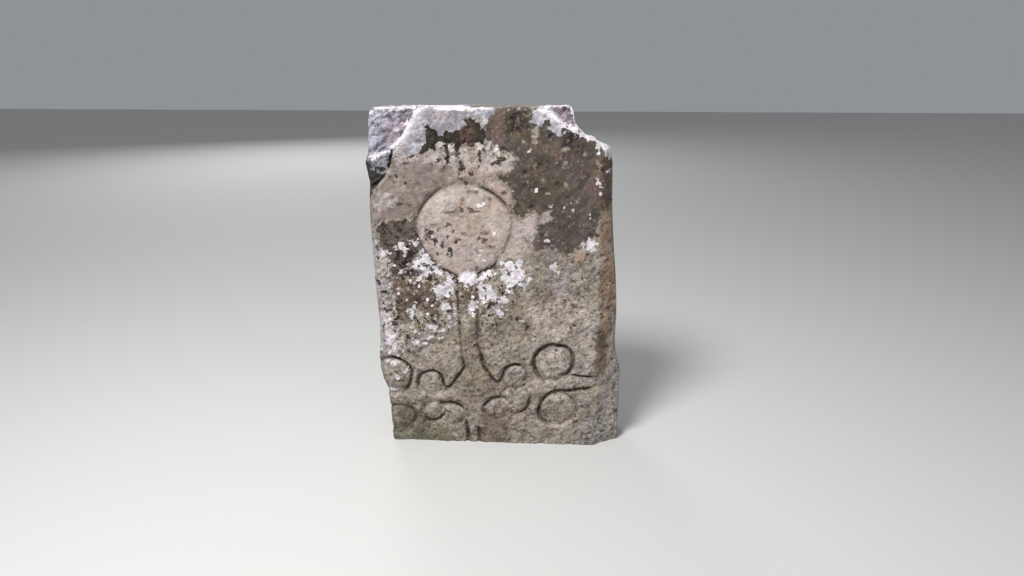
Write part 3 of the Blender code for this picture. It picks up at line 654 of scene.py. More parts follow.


# growths, stains and some painted highlight and shade, each an outline read off, in centimetres on the face

growth = {
    "greyCrust": [
        [
            (-24.8, 78.2), (-23.2, 81.0), (-21.4, 83.6), (-20.2, 85.6), (-19.0, 87.2), (-17.5, 88.4),
            (-7.2, 88.8), (-7.0, 86.2), (-7.5, 85.2), (-7.4, 84.2), (-8.4, 83.0), (-10.6, 82.6),
            (-12.2, 82.3), (-12.6, 81.5), (-13.5, 81.4), (-14.2, 82.6), (-15.3, 83.5), (-16.2, 84.2),
            (-17.4, 84.2), (-16.8, 82.9), (-16.8, 80.6), (-17.9, 78.6), (-18.6, 77.3), (-20.0, 76.9),
            (-22.5, 77.1), (-24.6, 77.4),
        ],
        [
            (-7.0, 88.8), (-0.2, 88.7), (-0.2, 87.0), (-0.6, 86.2), (-1.4, 85.4), (-2.3, 84.8),
            (-2.6, 84.0), (-2.8, 83.2), (-3.3, 83.2), (-3.6, 84.2), (-3.6, 85.4), (-4.5, 85.9),
            (-6.5, 85.9), (-7.0, 86.6),
        ],
        [
            (9.4, 88.9), (12.3, 88.2), (14.6, 87.0), (16.8, 85.6), (18.6, 84.6), (21.0, 82.0), (22.6, 81.8),
            (25.0, 80.5), (26.6, 79.2), (27.4, 78.4), (26.9, 76.0), (26.2, 76.0), (26.2, 76.7),
            (25.2, 77.6), (24.5, 79.0), (23.5, 79.0), (22.6, 80.3), (20.9, 81.4), (20.2, 82.2),
            (19.2, 83.3), (18.0, 84.2), (16.6, 84.0), (15.8, 83.4), (15.6, 82.4), (15.4, 81.3),
            (14.5, 81.2), (13.6, 82.0), (12.9, 82.4), (12.0, 83.4), (12.2, 84.0), (12.3, 85.2),
            (11.2, 85.0), (10.8, 84.3), (10.0, 83.5), (9.0, 83.5), (8.7, 84.4), (7.7, 84.8), (8.2, 85.6),
            (8.6, 86.8), (9.2, 87.3),
        ],
    ],
    "beigeCrust": [
        [
            (-14.3, 79.4), (-14.0, 80.0), (-13.3, 80.3), (-12.6, 80.2), (-12.1, 79.6), (-12.5, 79.0),
            (-13.5, 78.9),
        ],
        [(-11.2, 79.3), (-10.6, 79.9), (-9.9, 79.8), (-9.8, 78.5), (-9.7, 76.5), (-10.8, 76.8)],
        [(-8.6, 78.2), (-8.2, 79.1), (-7.5, 79.2), (-7.1, 78.7), (-7.4, 77.8), (-8.3, 77.8)],
        [
            (-5.0, 79.4), (-4.5, 79.7), (-3.2, 79.7), (-3.0, 80.6), (-2.5, 80.9), (-2.0, 80.4),
            (-1.3, 79.6), (-1.2, 78.9), (-1.8, 78.4), (-3.4, 77.8), (-4.4, 78.1), (-4.8, 78.8),
        ],
        [(-0.8, 79.3), (-0.2, 79.4), (0.4, 78.3), (0.7, 77.2), (0.3, 76.5), (-0.6, 76.6), (-0.7, 77.5)],
    ],
    "whiteCrust": [
        [
            (-25.4, 54.6), (-24.8, 55.4), (-23.4, 55.8), (-22.5, 55.4), (-22.6, 54.4), (-22.2, 53.8),
            (-23.2, 53.4), (-24.4, 53.4), (-25.2, 53.8),
        ],
        [(-21.8, 55.6), (-20.9, 56.4), (-20.1, 56.4), (-19.9, 55.4), (-20.4, 54.8), (-21.2, 55.0)],
        [(-27.9, 52.9), (-27.2, 53.4), (-26.4, 53.0), (-26.2, 52.3), (-27.0, 52.3)],
        [
            (-22.2, 49.2), (-21.0, 50.6), (-20.6, 51.4), (-19.6, 51.8), (-19.4, 53.8), (-18.6, 54.0),
            (-17.2, 51.6), (-15.4, 49.2), (-13.9, 48.2), (-13.2, 47.4), (-13.3, 46.5), (-14.2, 46.5),
            (-14.8, 47.4), (-15.8, 47.6), (-17.2, 46.8), (-18.4, 46.9), (-19.2, 48.2), (-20.6, 48.6),
            (-21.3, 49.2),
        ],
        [
            (-20.3, 47.2), (-19.5, 47.3), (-18.8, 46.8), (-18.6, 45.6), (-19.0, 44.8), (-19.6, 45.1),
            (-20.2, 45.9),
        ],
        [
            (-17.0, 43.4), (-16.2, 44.2), (-14.2, 44.6), (-13.4, 45.4), (-13.2, 46.0), (-12.4, 46.8),
            (-11.2, 46.5), (-10.5, 45.6), (-10.8, 44.4), (-10.4, 43.6), (-10.9, 42.4), (-12.0, 41.0),
            (-13.0, 41.0), (-13.6, 41.3), (-14.4, 41.0), (-15.2, 41.6), (-16.2, 42.4),
        ],
        [
            (-14.5, 40.4), (-12.6, 40.2), (-12.4, 39.2), (-11.6, 38.6), (-12.4, 38.2), (-13.3, 38.0),
            (-13.0, 37.0), (-12.0, 36.0), (-12.6, 35.3), (-13.3, 35.9), (-13.4, 37.0), (-14.0, 38.2),
            (-14.8, 38.2), (-13.9, 39.4),
        ],
        [
            (-9.8, 48.0), (-7.4, 48.3), (-5.6, 47.4), (-5.1, 46.0), (-5.4, 44.8), (-6.6, 44.6),
            (-7.4, 44.0), (-8.6, 43.9), (-9.4, 44.8), (-9.9, 46.0),
        ],
        [
            (-3.6, 48.2), (-2.6, 48.4), (-1.2, 48.4), (-0.5, 47.8), (-0.8, 46.8), (-2.2, 46.5),
            (-3.4, 46.5), (-4.2, 47.2),
        ],
        [
            (-5.2, 43.4), (-4.4, 44.8), (-3.0, 45.2), (-1.8, 44.6), (-1.2, 43.4), (-0.2, 42.2), (1.6, 41.8),
            (2.6, 41.2), (2.6, 40.4), (2.0, 39.8), (1.2, 40.2), (0.0, 40.2), (-1.0, 41.0), (-2.0, 41.0),
            (-2.6, 40.4), (-3.6, 40.0), (-4.2, 40.8), (-5.0, 41.8),
        ],
        [
            (1.0, 48.6), (1.0, 47.2), (0.8, 46.4), (2.0, 45.9), (1.8, 45.2), (2.4, 44.4), (2.0, 42.8),
            (3.0, 42.7), (3.4, 44.2), (4.6, 44.6), (6.2, 45.0), (6.6, 45.8), (6.9, 47.0), (6.8, 48.2),
            (6.2, 49.0), (6.0, 50.0), (6.4, 51.2), (5.2, 51.6), (3.2, 51.2), (0.6, 50.7), (0.8, 50.1),
            (1.8, 49.9), (2.2, 49.3),
        ],
        [
            (-7.6, 38.6), (-7.2, 39.8), (-6.4, 40.3), (-5.2, 40.1), (-4.9, 39.4), (-5.9, 38.2),
            (-6.4, 37.4), (-7.2, 37.2),
        ],
        [
            (-0.8, 38.2), (-0.2, 38.8), (0.6, 38.4), (0.9, 37.6), (1.4, 37.0), (0.6, 36.7), (0.0, 36.7),
            (-0.3, 37.4),
        ],
        [
            (-17.8, 33.4), (-17.2, 34.1), (-16.4, 33.8), (-15.4, 33.4), (-15.6, 32.8), (-16.4, 32.4),
            (-17.2, 32.8),
        ],
        [
            (-29.5, 31.0), (-29.0, 31.8), (-28.0, 31.9), (-27.8, 31.0), (-26.8, 30.9), (-26.4, 30.2),
            (-27.2, 29.4), (-27.4, 28.4), (-28.6, 28.0), (-29.4, 28.6), (-29.6, 29.4), (-29.2, 30.2),
        ],
        [(-22.9, 32.8), (-22.4, 33.6), (-21.9, 33.3), (-22.2, 32.7), (-22.8, 32.3)],
        [
            (-22.6, 38.0), (-22.0, 39.0), (-21.2, 39.2), (-21.0, 38.4), (-21.6, 37.6), (-20.6, 36.2),
            (-21.4, 35.9), (-21.6, 35.2), (-22.1, 35.2), (-22.2, 36.6),
        ],
        [
            (-22.7, 28.8), (-22.0, 29.4), (-21.0, 29.4), (-20.2, 28.8), (-20.6, 28.0), (-21.4, 27.9),
            (-22.2, 28.1),
        ],
        [(-19.4, 28.6), (-18.8, 29.0), (-18.2, 28.8), (-18.6, 28.2)],
        [(-18.6, 29.9), (-17.6, 30.4), (-16.6, 31.0), (-16.8, 30.5), (-17.8, 29.8)],
        [(-29.2, 23.4), (-28.2, 23.6), (-27.2, 23.3), (-26.6, 22.6), (-27.4, 22.2), (-28.4, 22.6)],
        [(-29.0, 15.3), (-27.4, 15.6), (-26.6, 15.2), (-27.4, 14.6), (-29.0, 14.4)],
        [
            (20.6, 55.4), (21.0, 56.0), (21.9, 55.8), (22.6, 56.8), (23.4, 57.2), (24.2, 57.0),
            (24.4, 56.0), (24.2, 54.8), (23.6, 54.2), (22.6, 54.0), (22.2, 54.6), (21.4, 55.1),
        ],
        [
            (12.9, 50.0), (13.6, 50.8), (14.4, 51.0), (14.9, 49.4), (15.8, 48.4), (15.0, 48.1),
            (14.6, 48.8), (13.6, 48.9),
        ],
        [(11.5, 56.2), (12.0, 57.0), (12.7, 56.6), (12.3, 56.0)],
        [(17.0, 64.6), (18.6, 64.4), (18.9, 63.6), (18.4, 63.1), (17.6, 63.6)],
        [(21.6, 62.8), (22.6, 63.0), (22.9, 62.6), (22.5, 62.2)],
        [(16.2, 64.9), (17.0, 65.9), (17.2, 65.7), (16.6, 65.0)],
        [(9.0, 68.4), (9.6, 69.4), (10.0, 69.2), (9.6, 68.4)],
        [(5.5, 35.3), (6.1, 35.7), (6.3, 35.0), (5.8, 34.7)],
        [(-5.2, 65.2), (-4.4, 65.6), (-3.0, 65.9), (-2.6, 65.4), (-3.2, 64.9), (-4.2, 64.6), (-4.8, 64.7)],
        [(-16.6, 56.8), (-15.8, 57.2), (-15.2, 56.9), (-15.6, 56.5)],
        [(-4.8, 52.4), (-4.4, 53.8), (-4.1, 53.6), (-4.4, 52.4)],
        [(-3.8, 50.9), (-3.0, 51.4), (-2.7, 50.9), (-3.4, 50.6)],
        [(7.6, 77.8), (8.2, 78.9), (8.8, 77.8), (8.2, 77.4)],
        [(23.7, 71.0), (24.0, 71.8), (24.8, 71.9), (24.7, 70.6), (24.1, 70.4)],
    ],
    "paleSpots": [
        [(-9.2, 34.0), (-8.8, 35.4), (-8.0, 35.2), (-7.6, 34.0), (-7.6, 32.8), (-8.4, 32.6), (-9.0, 33.2)],
        [
            (-26.2, 31.2), (-25.0, 31.4), (-24.6, 32.8), (-23.4, 33.0), (-23.0, 31.8), (-23.4, 30.6),
            (-24.6, 30.0), (-25.0, 27.6), (-25.8, 27.0), (-26.8, 27.8), (-26.2, 29.0),
        ],
        [(-25.0, 24.8), (-24.2, 25.5), (-23.2, 25.0), (-23.6, 24.2), (-24.6, 24.0)],
        [(21.2, 51.6), (22.2, 52.3), (22.0, 51.9), (21.4, 51.4)],
        [(14.0, 44.9), (15.0, 45.6), (15.6, 45.4), (14.6, 44.8)],
        [(21.6, 44.4), (22.4, 45.0), (23.4, 44.9), (22.6, 44.3)],
        [(23.5, 35.4), (24.3, 35.5), (24.2, 35.0)],
        [(1.7, 76.8), (2.8, 77.6), (3.6, 77.3), (5.2, 76.4), (4.6, 75.8), (3.4, 75.6), (2.4, 75.8)],
        [(8.2, 79.8), (8.6, 81.6), (9.8, 82.0), (9.6, 80.2)],
        [(26.8, 40.2), (27.2, 41.4), (28.0, 43.0), (28.4, 43.4), (28.1, 42.2), (27.3, 40.6)],
    ],
    "paleSheet": [
        [
            (-32.5, 60.2), (-32.5, 66.0), (-30.6, 67.6), (-29.2, 69.2), (-27.6, 70.0), (-26.2, 71.6),
            (-25.4, 73.6), (-25.2, 75.6), (-24.6, 78.6), (-21.0, 80.0), (-18.4, 78.2), (-18.4, 77.2),
            (-17.0, 77.3), (-16.4, 78.2), (-15.4, 78.7), (-12.8, 78.5), (-12.6, 77.2), (-12.8, 75.4),
            (-12.6, 74.4), (-12.0, 75.6), (-11.0, 75.4), (-11.0, 76.8), (-10.9, 78.8), (-10.2, 79.6),
            (-9.8, 78.2), (-9.5, 76.0), (-9.0, 75.3), (-8.5, 73.6), (-7.9, 73.2), (-7.4, 74.0),
            (-7.6, 74.8), (-8.4, 75.5), (-8.5, 77.6), (-7.2, 77.6), (-6.6, 76.0), (-6.2, 74.4),
            (-5.9, 73.2), (-5.7, 75.2), (-5.4, 77.4), (-4.4, 78.0), (-2.0, 77.6), (-1.0, 76.6),
            (-0.4, 76.4), (0.3, 75.4), (2.2, 75.6), (3.2, 75.3), (4.1, 74.2), (3.1, 73.2), (1.6, 72.5),
            (0.0, 72.4), (-1.0, 71.8), (0.2, 71.2), (2.0, 70.3), (3.1, 69.2), (3.7, 67.8), (3.7, 66.6),
            (4.1, 65.4), (3.5, 64.7), (3.1, 63.7), (3.4, 63.2), (4.6, 62.2), (5.2, 61.4), (6.0, 61.9),
            (7.2, 62.5), (7.8, 63.5), (8.6, 63.6), (9.4, 63.0), (9.7, 61.8), (9.8, 60.4), (9.2, 59.2),
            (8.6, 58.4), (7.9, 57.2), (7.7, 56.0), (7.0, 55.3), (8.0, 54.9), (8.7, 53.9), (8.7, 53.0),
            (8.2, 52.2), (7.2, 51.7), (6.5, 51.0), (0.6, 50.6), (-0.5, 49.6), (-3.8, 48.6), (-5.2, 47.2),
            (-5.0, 45.0), (-6.0, 44.0), (-8.6, 43.9), (-9.9, 45.2), (-10.1, 47.0), (-12.4, 47.7),
            (-14.6, 48.7), (-16.5, 50.3), (-18.0, 52.9), (-18.8, 54.6), (-19.3, 56.5), (-20.0, 57.8),
            (-19.7, 59.8), (-19.4, 62.4), (-20.4, 62.6), (-21.2, 62.0), (-22.4, 61.6), (-25.2, 61.6),
            (-26.0, 61.2), (-27.6, 61.2), (-28.8, 60.6), (-29.6, 60.4),
        ],
        [
            (10.0, 62.6), (11.0, 63.4), (11.9, 64.0), (12.9, 64.0), (13.0, 62.8), (14.2, 62.4),
            (13.8, 61.4), (12.8, 60.6), (11.4, 60.5), (10.3, 60.7), (10.0, 61.6),
        ],
    ],
    "leftBand": [
        [
            (-32.5, 57.6), (-30.2, 58.2), (-29.9, 56.4), (-29.2, 54.2), (-28.0, 53.4), (-27.3, 51.0),
            (-26.8, 48.8), (-25.6, 48.4), (-26.6, 46.8), (-27.6, 45.8), (-26.3, 44.9), (-26.6, 43.0),
            (-26.0, 40.6), (-26.4, 38.2), (-27.0, 36.0), (-27.2, 34.4), (-25.4, 34.8), (-24.3, 33.6),
            (-25.0, 32.2), (-26.0, 24.0), (-29.6, 24.4), (-32.5, 27.4),
        ],
    ],
    "darkFilm": [
        [
            (-17.4, 84.4), (-14.5, 84.2), (-13.5, 82.0), (-11.0, 82.6), (-8.0, 82.9), (-7.3, 84.5),
            (-6.8, 85.9), (-5.8, 85.8), (-5.0, 84.6), (-3.6, 84.0), (-3.0, 82.6), (-2.6, 81.4),
            (-3.0, 80.2), (-4.8, 80.0), (-5.2, 79.0), (-6.5, 79.3), (-7.0, 80.0), (-8.2, 79.5),
            (-8.6, 78.4), (-8.7, 77.5), (-9.4, 76.9), (-9.6, 78.6), (-10.0, 80.0), (-11.2, 79.9),
            (-11.4, 79.2), (-11.3, 77.5), (-11.3, 75.4), (-11.8, 75.0), (-12.1, 76.2), (-12.0, 77.5),
            (-12.2, 79.0), (-13.0, 80.2), (-14.4, 79.6), (-14.6, 79.0), (-16.0, 78.6), (-17.4, 77.2),
            (-18.6, 77.2), (-17.6, 79.0), (-16.6, 80.6), (-16.6, 83.0),
        ],
    ],
    "blackSpots": [
        [(-8.9, 75.2), (-8.3, 74.8), (-7.4, 74.1), (-7.6, 73.4), (-8.4, 73.6), (-8.8, 74.2)],
        [(-6.6, 73.2), (-6.2, 72.9), (-5.7, 72.0), (-6.2, 71.8), (-6.6, 72.4)],
        [(-20.9, 75.9), (-20.5, 75.6), (-20.0, 76.2), (-19.3, 76.6), (-19.6, 77.0), (-20.2, 76.4)],
        [(-0.8, 75.7), (-0.2, 75.4), (0.4, 75.8), (0.2, 76.3), (-0.5, 76.1)],
        [(0.6, 76.2), (1.4, 76.6), (2.2, 76.0), (1.6, 75.6)],
        [
            (-21.2, 53.8), (-20.6, 52.4), (-20.2, 51.8), (-21.6, 51.6), (-23.0, 51.4), (-23.0, 52.2),
            (-22.2, 53.2),
        ],
        [(-26.8, 50.4), (-26.2, 50.4), (-25.9, 49.4), (-26.4, 49.0), (-26.9, 49.4)],
        [(-24.6, 50.8), (-23.4, 50.6), (-22.4, 50.0), (-23.2, 49.0), (-24.2, 48.6), (-24.8, 49.4)],
        [(-23.6, 47.9), (-22.4, 48.4), (-20.8, 48.4), (-20.6, 47.8), (-22.0, 47.2), (-22.6, 46.8)],
        [(-18.8, 45.4), (-18.4, 46.2), (-16.8, 47.0), (-16.0, 46.8), (-16.4, 46.0), (-17.6, 45.6)],
        [(-16.0, 45.0), (-15.4, 45.4), (-14.8, 45.2), (-15.0, 44.5), (-15.8, 44.5)],
        [(-20.8, 44.6), (-20.4, 45.4), (-19.6, 45.2), (-20.0, 44.4)],
        [
            (-17.4, 59.6), (-16.6, 59.0), (-15.2, 58.6), (-15.2, 57.8), (-15.9, 57.4), (-17.8, 57.4),
            (-17.2, 58.6),
        ],
        [(-12.2, 54.2), (-11.4, 54.2), (-11.1, 53.4), (-11.3, 51.9), (-11.6, 52.8), (-12.4, 53.6)],
        [(-29.2, 60.2), (-28.6, 60.2), (-27.2, 60.8), (-27.2, 59.9), (-28.4, 59.5)],
        [(-25.2, 58.8), (-24.6, 59.2), (-23.8, 58.8), (-23.8, 58.2), (-24.6, 58.2)],
        [(-26.2, 37.8), (-25.8, 39.6), (-25.0, 39.6), (-25.2, 38.2), (-25.6, 37.4)],
        [(-26.8, 35.2), (-26.2, 36.2), (-25.4, 36.2), (-25.6, 35.0), (-26.2, 34.4)],
        [(-27.4, 33.4), (-26.9, 34.2), (-26.2, 34.6), (-26.2, 34.0), (-26.8, 33.2)],
        [(-12.2, 39.8), (-11.8, 40.8), (-11.2, 40.6), (-11.2, 39.6), (-11.8, 39.1)],
        [(-13.3, 38.0), (-12.4, 38.2), (-12.0, 37.6), (-12.8, 37.4)],
        [(-16.8, 34.6), (-15.9, 34.9), (-15.6, 34.4), (-16.2, 34.1)],
        [(-16.4, 31.0), (-16.0, 31.8), (-15.2, 31.7), (-15.3, 31.0), (-15.9, 30.7)],
        [(-3.7, 39.8), (-3.0, 40.1), (-2.6, 39.6), (-3.2, 39.3)],
        [(-2.2, 40.2), (-1.6, 40.9), (-0.8, 40.4), (-0.7, 39.2), (-1.5, 38.6), (-2.0, 39.4)],
        [(0.8, 42.2), (1.4, 43.2), (2.2, 42.4), (1.6, 42.0)],
        [(1.2, 36.4), (2.4, 36.0), (1.7, 35.4), (1.2, 35.8)],
        [(-1.6, 34.4), (-0.6, 34.2), (-0.7, 33.4), (-1.3, 33.6)],
    ],
    "brownSpots": [
        [(-12.9, 59.6), (-12.2, 60.6), (-11.6, 60.2), (-12.2, 59.4)],
        [(-11.2, 58.0), (-10.8, 58.6), (-10.0, 59.1), (-9.8, 58.6), (-10.6, 57.4)],
        [(-9.9, 56.4), (-9.2, 56.9), (-8.8, 56.2), (-9.4, 55.8)],
        [(-9.3, 64.6), (-8.6, 64.8), (-8.2, 64.0), (-8.6, 63.3), (-9.0, 63.5)],
        [(-8.0, 64.6), (-6.4, 64.7), (-5.8, 64.2), (-7.4, 64.0)],
        [(-6.9, 63.6), (-5.6, 64.0), (-4.2, 64.2), (-4.4, 63.8), (-5.8, 63.2), (-6.6, 63.0)],
        [(-3.9, 56.0), (-3.4, 56.8), (-2.2, 56.8), (-2.2, 56.0), (-3.2, 55.2), (-3.8, 55.4)],
        [(-5.0, 56.2), (-4.7, 57.0), (-4.3, 56.6), (-4.4, 55.6), (-4.9, 55.4)],
        [(-3.2, 54.6), (-1.8, 55.0), (-1.6, 54.6), (-2.8, 54.2)],
    ],
    "leftDark": [
        [
            (-29.8, 59.4), (-29.4, 60.4), (-27.4, 60.9), (-26.8, 60.4), (-25.6, 61.6), (-24.4, 61.4),
            (-22.6, 61.8), (-21.8, 61.4), (-21.2, 62.6), (-20.2, 62.4), (-19.4, 62.2), (-19.6, 60.8),
            (-20.1, 58.0), (-19.4, 56.4), (-19.3, 55.0), (-19.6, 51.8), (-20.6, 51.4), (-22.2, 49.2),
            (-19.2, 48.2), (-18.4, 46.9), (-21.0, 46.2), (-25.8, 46.4), (-26.2, 48.6), (-26.8, 51.0),
            (-27.6, 53.2), (-29.4, 55.0), (-29.2, 57.0),
        ],
    ],
    "rust": [
        [
            (-27.5, 46.5), (-25.4, 47.2), (-21.8, 46.6), (-20.5, 45.5), (-19.0, 44.6), (-17.0, 46.2),
            (-16.2, 44.8), (-17.2, 43.2), (-15.2, 41.0), (-15.2, 39.0), (-14.4, 37.6), (-15.6, 36.4),
            (-17.5, 36.6), (-19.0, 37.8), (-20.6, 38.6), (-22.6, 37.0), (-24.2, 35.4), (-26.2, 34.6),
            (-26.8, 37.4), (-26.4, 40.6), (-26.4, 42.5),
        ],
        [(-9.9, 44.0), (-5.2, 44.0), (-5.2, 40.4), (-9.9, 40.0)],
    ],
    "umber": [
        [
            (-3.0, 83.0), (-2.2, 85.2), (-0.6, 87.2), (4.0, 88.2), (10.0, 88.0), (16.0, 84.6), (20.6, 81.4),
            (24.0, 79.4), (27.6, 77.4), (27.6, 66.0), (24.6, 61.0), (24.0, 57.6), (20.0, 54.6),
            (17.6, 53.0), (13.0, 54.6), (9.4, 54.2), (9.0, 56.0), (9.9, 58.6), (10.0, 60.6), (9.9, 62.6),
            (8.6, 64.0), (7.2, 63.2), (5.2, 62.0), (3.6, 63.4), (4.2, 65.4), (3.8, 67.8), (2.4, 70.4),
            (-0.8, 71.8), (0.4, 72.6), (3.0, 73.2), (4.2, 74.3), (5.4, 76.2), (2.8, 77.8), (0.8, 78.4),
            (-1.0, 79.8), (-3.0, 81.0),
        ],
    ],
    "darkUmber": [
        [(2.6, 82.6), (2.4, 85.6), (4.4, 87.4), (7.0, 87.2), (6.8, 84.0), (5.4, 82.4)],
        [(15.2, 79.4), (15.6, 82.0), (16.8, 83.6), (18.8, 83.6), (20.0, 81.8), (19.0, 79.6), (17.0, 78.8)],
    ],
    "pinkUmber": [
        [(12.6, 76.2), (13.0, 80.4), (14.6, 81.0), (15.6, 78.8), (15.0, 76.0)],
        [(-2.0, 81.0), (-1.6, 85.4), (0.6, 87.2), (2.6, 86.6), (2.6, 82.4), (1.0, 80.0)],
        [(21.0, 67.4), (21.6, 75.0), (24.0, 78.0), (26.8, 76.6), (27.4, 68.0), (24.0, 65.0)],
    ],
    "pinkSheet": [
        [
            (-1.0, 71.6), (2.2, 70.2), (3.7, 67.6), (3.6, 64.6), (2.4, 65.4), (0.6, 67.4), (-2.4, 69.2),
            (-4.6, 70.2),
        ],
        [(-8.0, 74.6), (-2.0, 76.6), (2.6, 75.4), (3.4, 73.6), (-0.6, 72.2), (-5.6, 71.6), (-9.0, 72.0)],
    ],
    "rosyCrust": [
        [(-15.8, 87.2), (-13.0, 87.6), (-11.6, 86.4), (-12.2, 84.8), (-14.4, 85.0), (-15.6, 86.0)],
        [(-24.4, 79.4), (-23.0, 79.8), (-21.6, 78.4), (-22.6, 77.0), (-24.6, 77.2)],
    ],
    "redFilm": [
        [
            (-8.8, 79.9), (-8.7, 82.4), (-7.7, 84.4), (-6.6, 85.6), (-5.4, 84.8), (-5.0, 82.6),
            (-5.6, 80.4), (-6.8, 79.6),
        ],
    ],
    "paleBed": [
        [(-32.0, 79.0), (-32.0, 88.5), (-25.6, 88.5), (-26.6, 85.2), (-28.4, 82.2), (-29.2, 79.0)],
    ],
    # paler raised arm, round part and groove lips: partly paler stone, partly painted highlight where light
    # from above falls
    "paleArm": [
        [
            (9.0, 18.4), (12.0, 18.8), (17.0, 19.4), (25.0, 19.8), (25.2, 17.8), (18.0, 16.6), (12.4, 15.8),
            (9.2, 15.4),
        ],
        [
            (7.6, 21.0), (8.0, 40.0), (16.0, 42.0), (25.0, 41.0), (25.4, 30.0), (24.4, 21.6), (19.8, 22.0),
            (19.0, 28.0), (14.0, 29.4), (9.6, 27.0),
        ],
        [
            (9.8, 24.0), (11.5, 27.4), (14.4, 28.4), (17.6, 27.8), (19.0, 25.0), (18.4, 21.4), (14.4, 19.6),
            (11.0, 20.6),
        ],
        [(-22.6, 14.6), (-20.0, 15.2), (-14.6, 15.0), (-10.0, 15.2), (-12.0, 13.6), (-20.0, 13.4)],
    ],
    "rosyBed": [
        [(10.0, 88.9), (19.0, 88.9), (19.6, 83.0), (16.4, 83.4), (14.4, 85.2), (12.4, 86.4)],
        [(-25.8, 79.6), (-26.4, 82.0), (-24.0, 84.6), (-21.6, 85.2), (-20.4, 84.0), (-23.4, 80.2)],
    ],
    "bottomRed": [
        [(-5.4, 10.0), (0.6, 9.6), (3.4, 9.4), (4.6, 7.6), (3.8, 4.6), (1.8, 1.0), (1.2, -1), (-5.0, -1)],
    ],
    "algae": [
        [
            (-33.0, -1), (-33.0, 12.0), (-28.6, 11.6), (-24.0, 11.4), (-21.0, 9.4), (-19.6, 6.0),
            (-14.0, 4.4), (-10.0, -1),
        ],
        [(-33.0, 11.0), (-33.0, 25.0), (-31.0, 25.0), (-29.8, 19.0), (-29.6, 12.0)],
    ],
    "lavender": [
        [(11.6, 43.0), (12.0, 47.0), (17.6, 47.4), (18.6, 43.4), (15.0, 42.6)],
        [(4.0, 60.0), (9.6, 61.6), (16.0, 66.0), (24.0, 66.0), (24.0, 58.0), (18.0, 53.4), (9.0, 54.0)],
    ],
    "flare": [
        [(27.2, 8.0), (27.4, 20.0), (28.4, 22.4), (32.5, 23.0), (32.5, -1), (20.0, -1), (23.0, 8.0)],
    ],
    # darker brown in the right chamfer's hollow
    "hollow": [
        [(24.8, 20.4), (25.2, 31.0), (26.4, 35.0), (28.0, 33.0), (28.2, 26.0), (27.8, 20.6)],
    ],
    "lace": [
        [
            (-27.0, 56.0), (-20.0, 56.4), (-17.0, 52.6), (-12.0, 47.6), (-5.0, 48.4), (2.0, 50.6),
            (7.4, 51.6), (8.4, 46.0), (5.6, 41.6), (3.4, 37.4), (-2.0, 34.6), (-8.0, 36.4), (-12.0, 32.4),
            (-15.6, 29.4), (-20.0, 26.6), (-28.0, 23.0), (-30.0, 32.0), (-27.0, 40.0), (-26.0, 45.0),
            (-27.6, 50.0),
        ],
    ],
    "darkLace": [
        [
            (-15.6, 74.6), (-15.4, 80.4), (-8.0, 82.0), (3.2, 79.0), (2.6, 75.2), (-4.4, 71.6),
            (-8.8, 70.6), (-11.0, 74.0),
        ],
        [(-19.0, 59.6), (-14.0, 60.0), (-9.0, 57.4), (-8.0, 52.2), (-12.6, 51.4), (-18.2, 55.6)],
        [(-30.0, 60.6), (-20.0, 61.6), (-19.4, 56.0), (-20.6, 47.6), (-27.0, 47.0), (-30.0, 54.0)],
        [(-27.4, 40.0), (-26.0, 42.0), (-24.6, 36.0), (-24.0, 27.0), (-29.0, 26.0), (-28.0, 33.0)],
    ],
    # dark under the chunk at the left edge: moss, and painted shade under the chunk
    "moss": [
        [
            (-32.5, 75.6), (-30.8, 74.8), (-30.0, 73.4), (-28.6, 72.4), (-27.2, 72.2), (-28.2, 70.0),
            (-29.8, 68.2), (-30.8, 66.8), (-32.5, 66.0),
        ],
        [(-29.3, 73.8), (-28.2, 74.4), (-27.2, 73.8), (-27.4, 72.6), (-28.6, 72.3)],
    ],
    "paleCrust": [
        [
            (-24.6, 77.8), (-24.8, 75.2), (-22.4, 74.4), (-20.4, 75.4), (-18.6, 76.0), (-17.6, 77.8),
            (-19.0, 79.0),
        ],
        [(4.2, 55.6), (4.8, 61.0), (7.8, 63.2), (9.6, 62.4), (8.8, 58.4), (7.4, 55.6)],
        [(10.2, 61.2), (11.2, 63.2), (13.0, 63.4), (13.6, 61.8), (12.0, 60.8)],
        [(-18.0, 76.6), (-16.6, 78.8), (-12.8, 78.6), (-12.6, 75.2), (-14.6, 74.4), (-17.4, 75.2)],
        [(-11.0, 78.8), (-9.8, 79.4), (-9.4, 76.0), (-9.6, 73.4), (-11.2, 74.0), (-11.4, 76.0)],
        [(-8.5, 77.8), (-6.8, 77.8), (-6.0, 74.6), (-7.4, 74.4), (-8.4, 75.6)],
        [
            (-5.6, 78.2), (-1.0, 78.0), (0.4, 76.4), (4.0, 75.0), (3.0, 73.4), (-1.0, 72.8), (-4.0, 73.2),
            (-5.4, 75.0),
        ],
        [(-30.4, 64.6), (-29.4, 67.6), (-26.4, 67.8), (-24.4, 66.0), (-25.6, 64.0), (-28.4, 63.4)],
    ],
    "tan": [
        [
            (24.6, 59.0), (25.2, 63.8), (26.4, 64.4), (27.6, 61.0), (28.2, 57.0), (27.2, 54.6),
            (25.4, 54.6), (24.6, 56.6),
        ],
        [
            (17.4, 51.0), (18.2, 52.0), (19.6, 51.8), (20.4, 50.4), (21.0, 50.2), (21.2, 52.0),
            (22.6, 53.4), (21.0, 54.0), (18.6, 53.2), (18.0, 52.4),
        ],
        [(11.8, 42.2), (12.4, 42.8), (13.4, 42.8), (13.8, 41.6), (13.0, 40.8), (12.6, 41.6)],
        [(15.2, 41.0), (16.6, 41.2), (16.6, 39.8), (15.6, 39.4), (15.2, 40.0)],
        [(10.8, 38.4), (11.4, 40.6), (12.0, 40.0), (11.8, 37.6), (11.2, 37.4)],
        [(25.2, 54.0), (28.4, 54.0), (29.2, 44.0), (29.4, 33.0), (26.4, 32.0), (25.6, 42.0)],
    ],
    "oliveBrown": [
        [
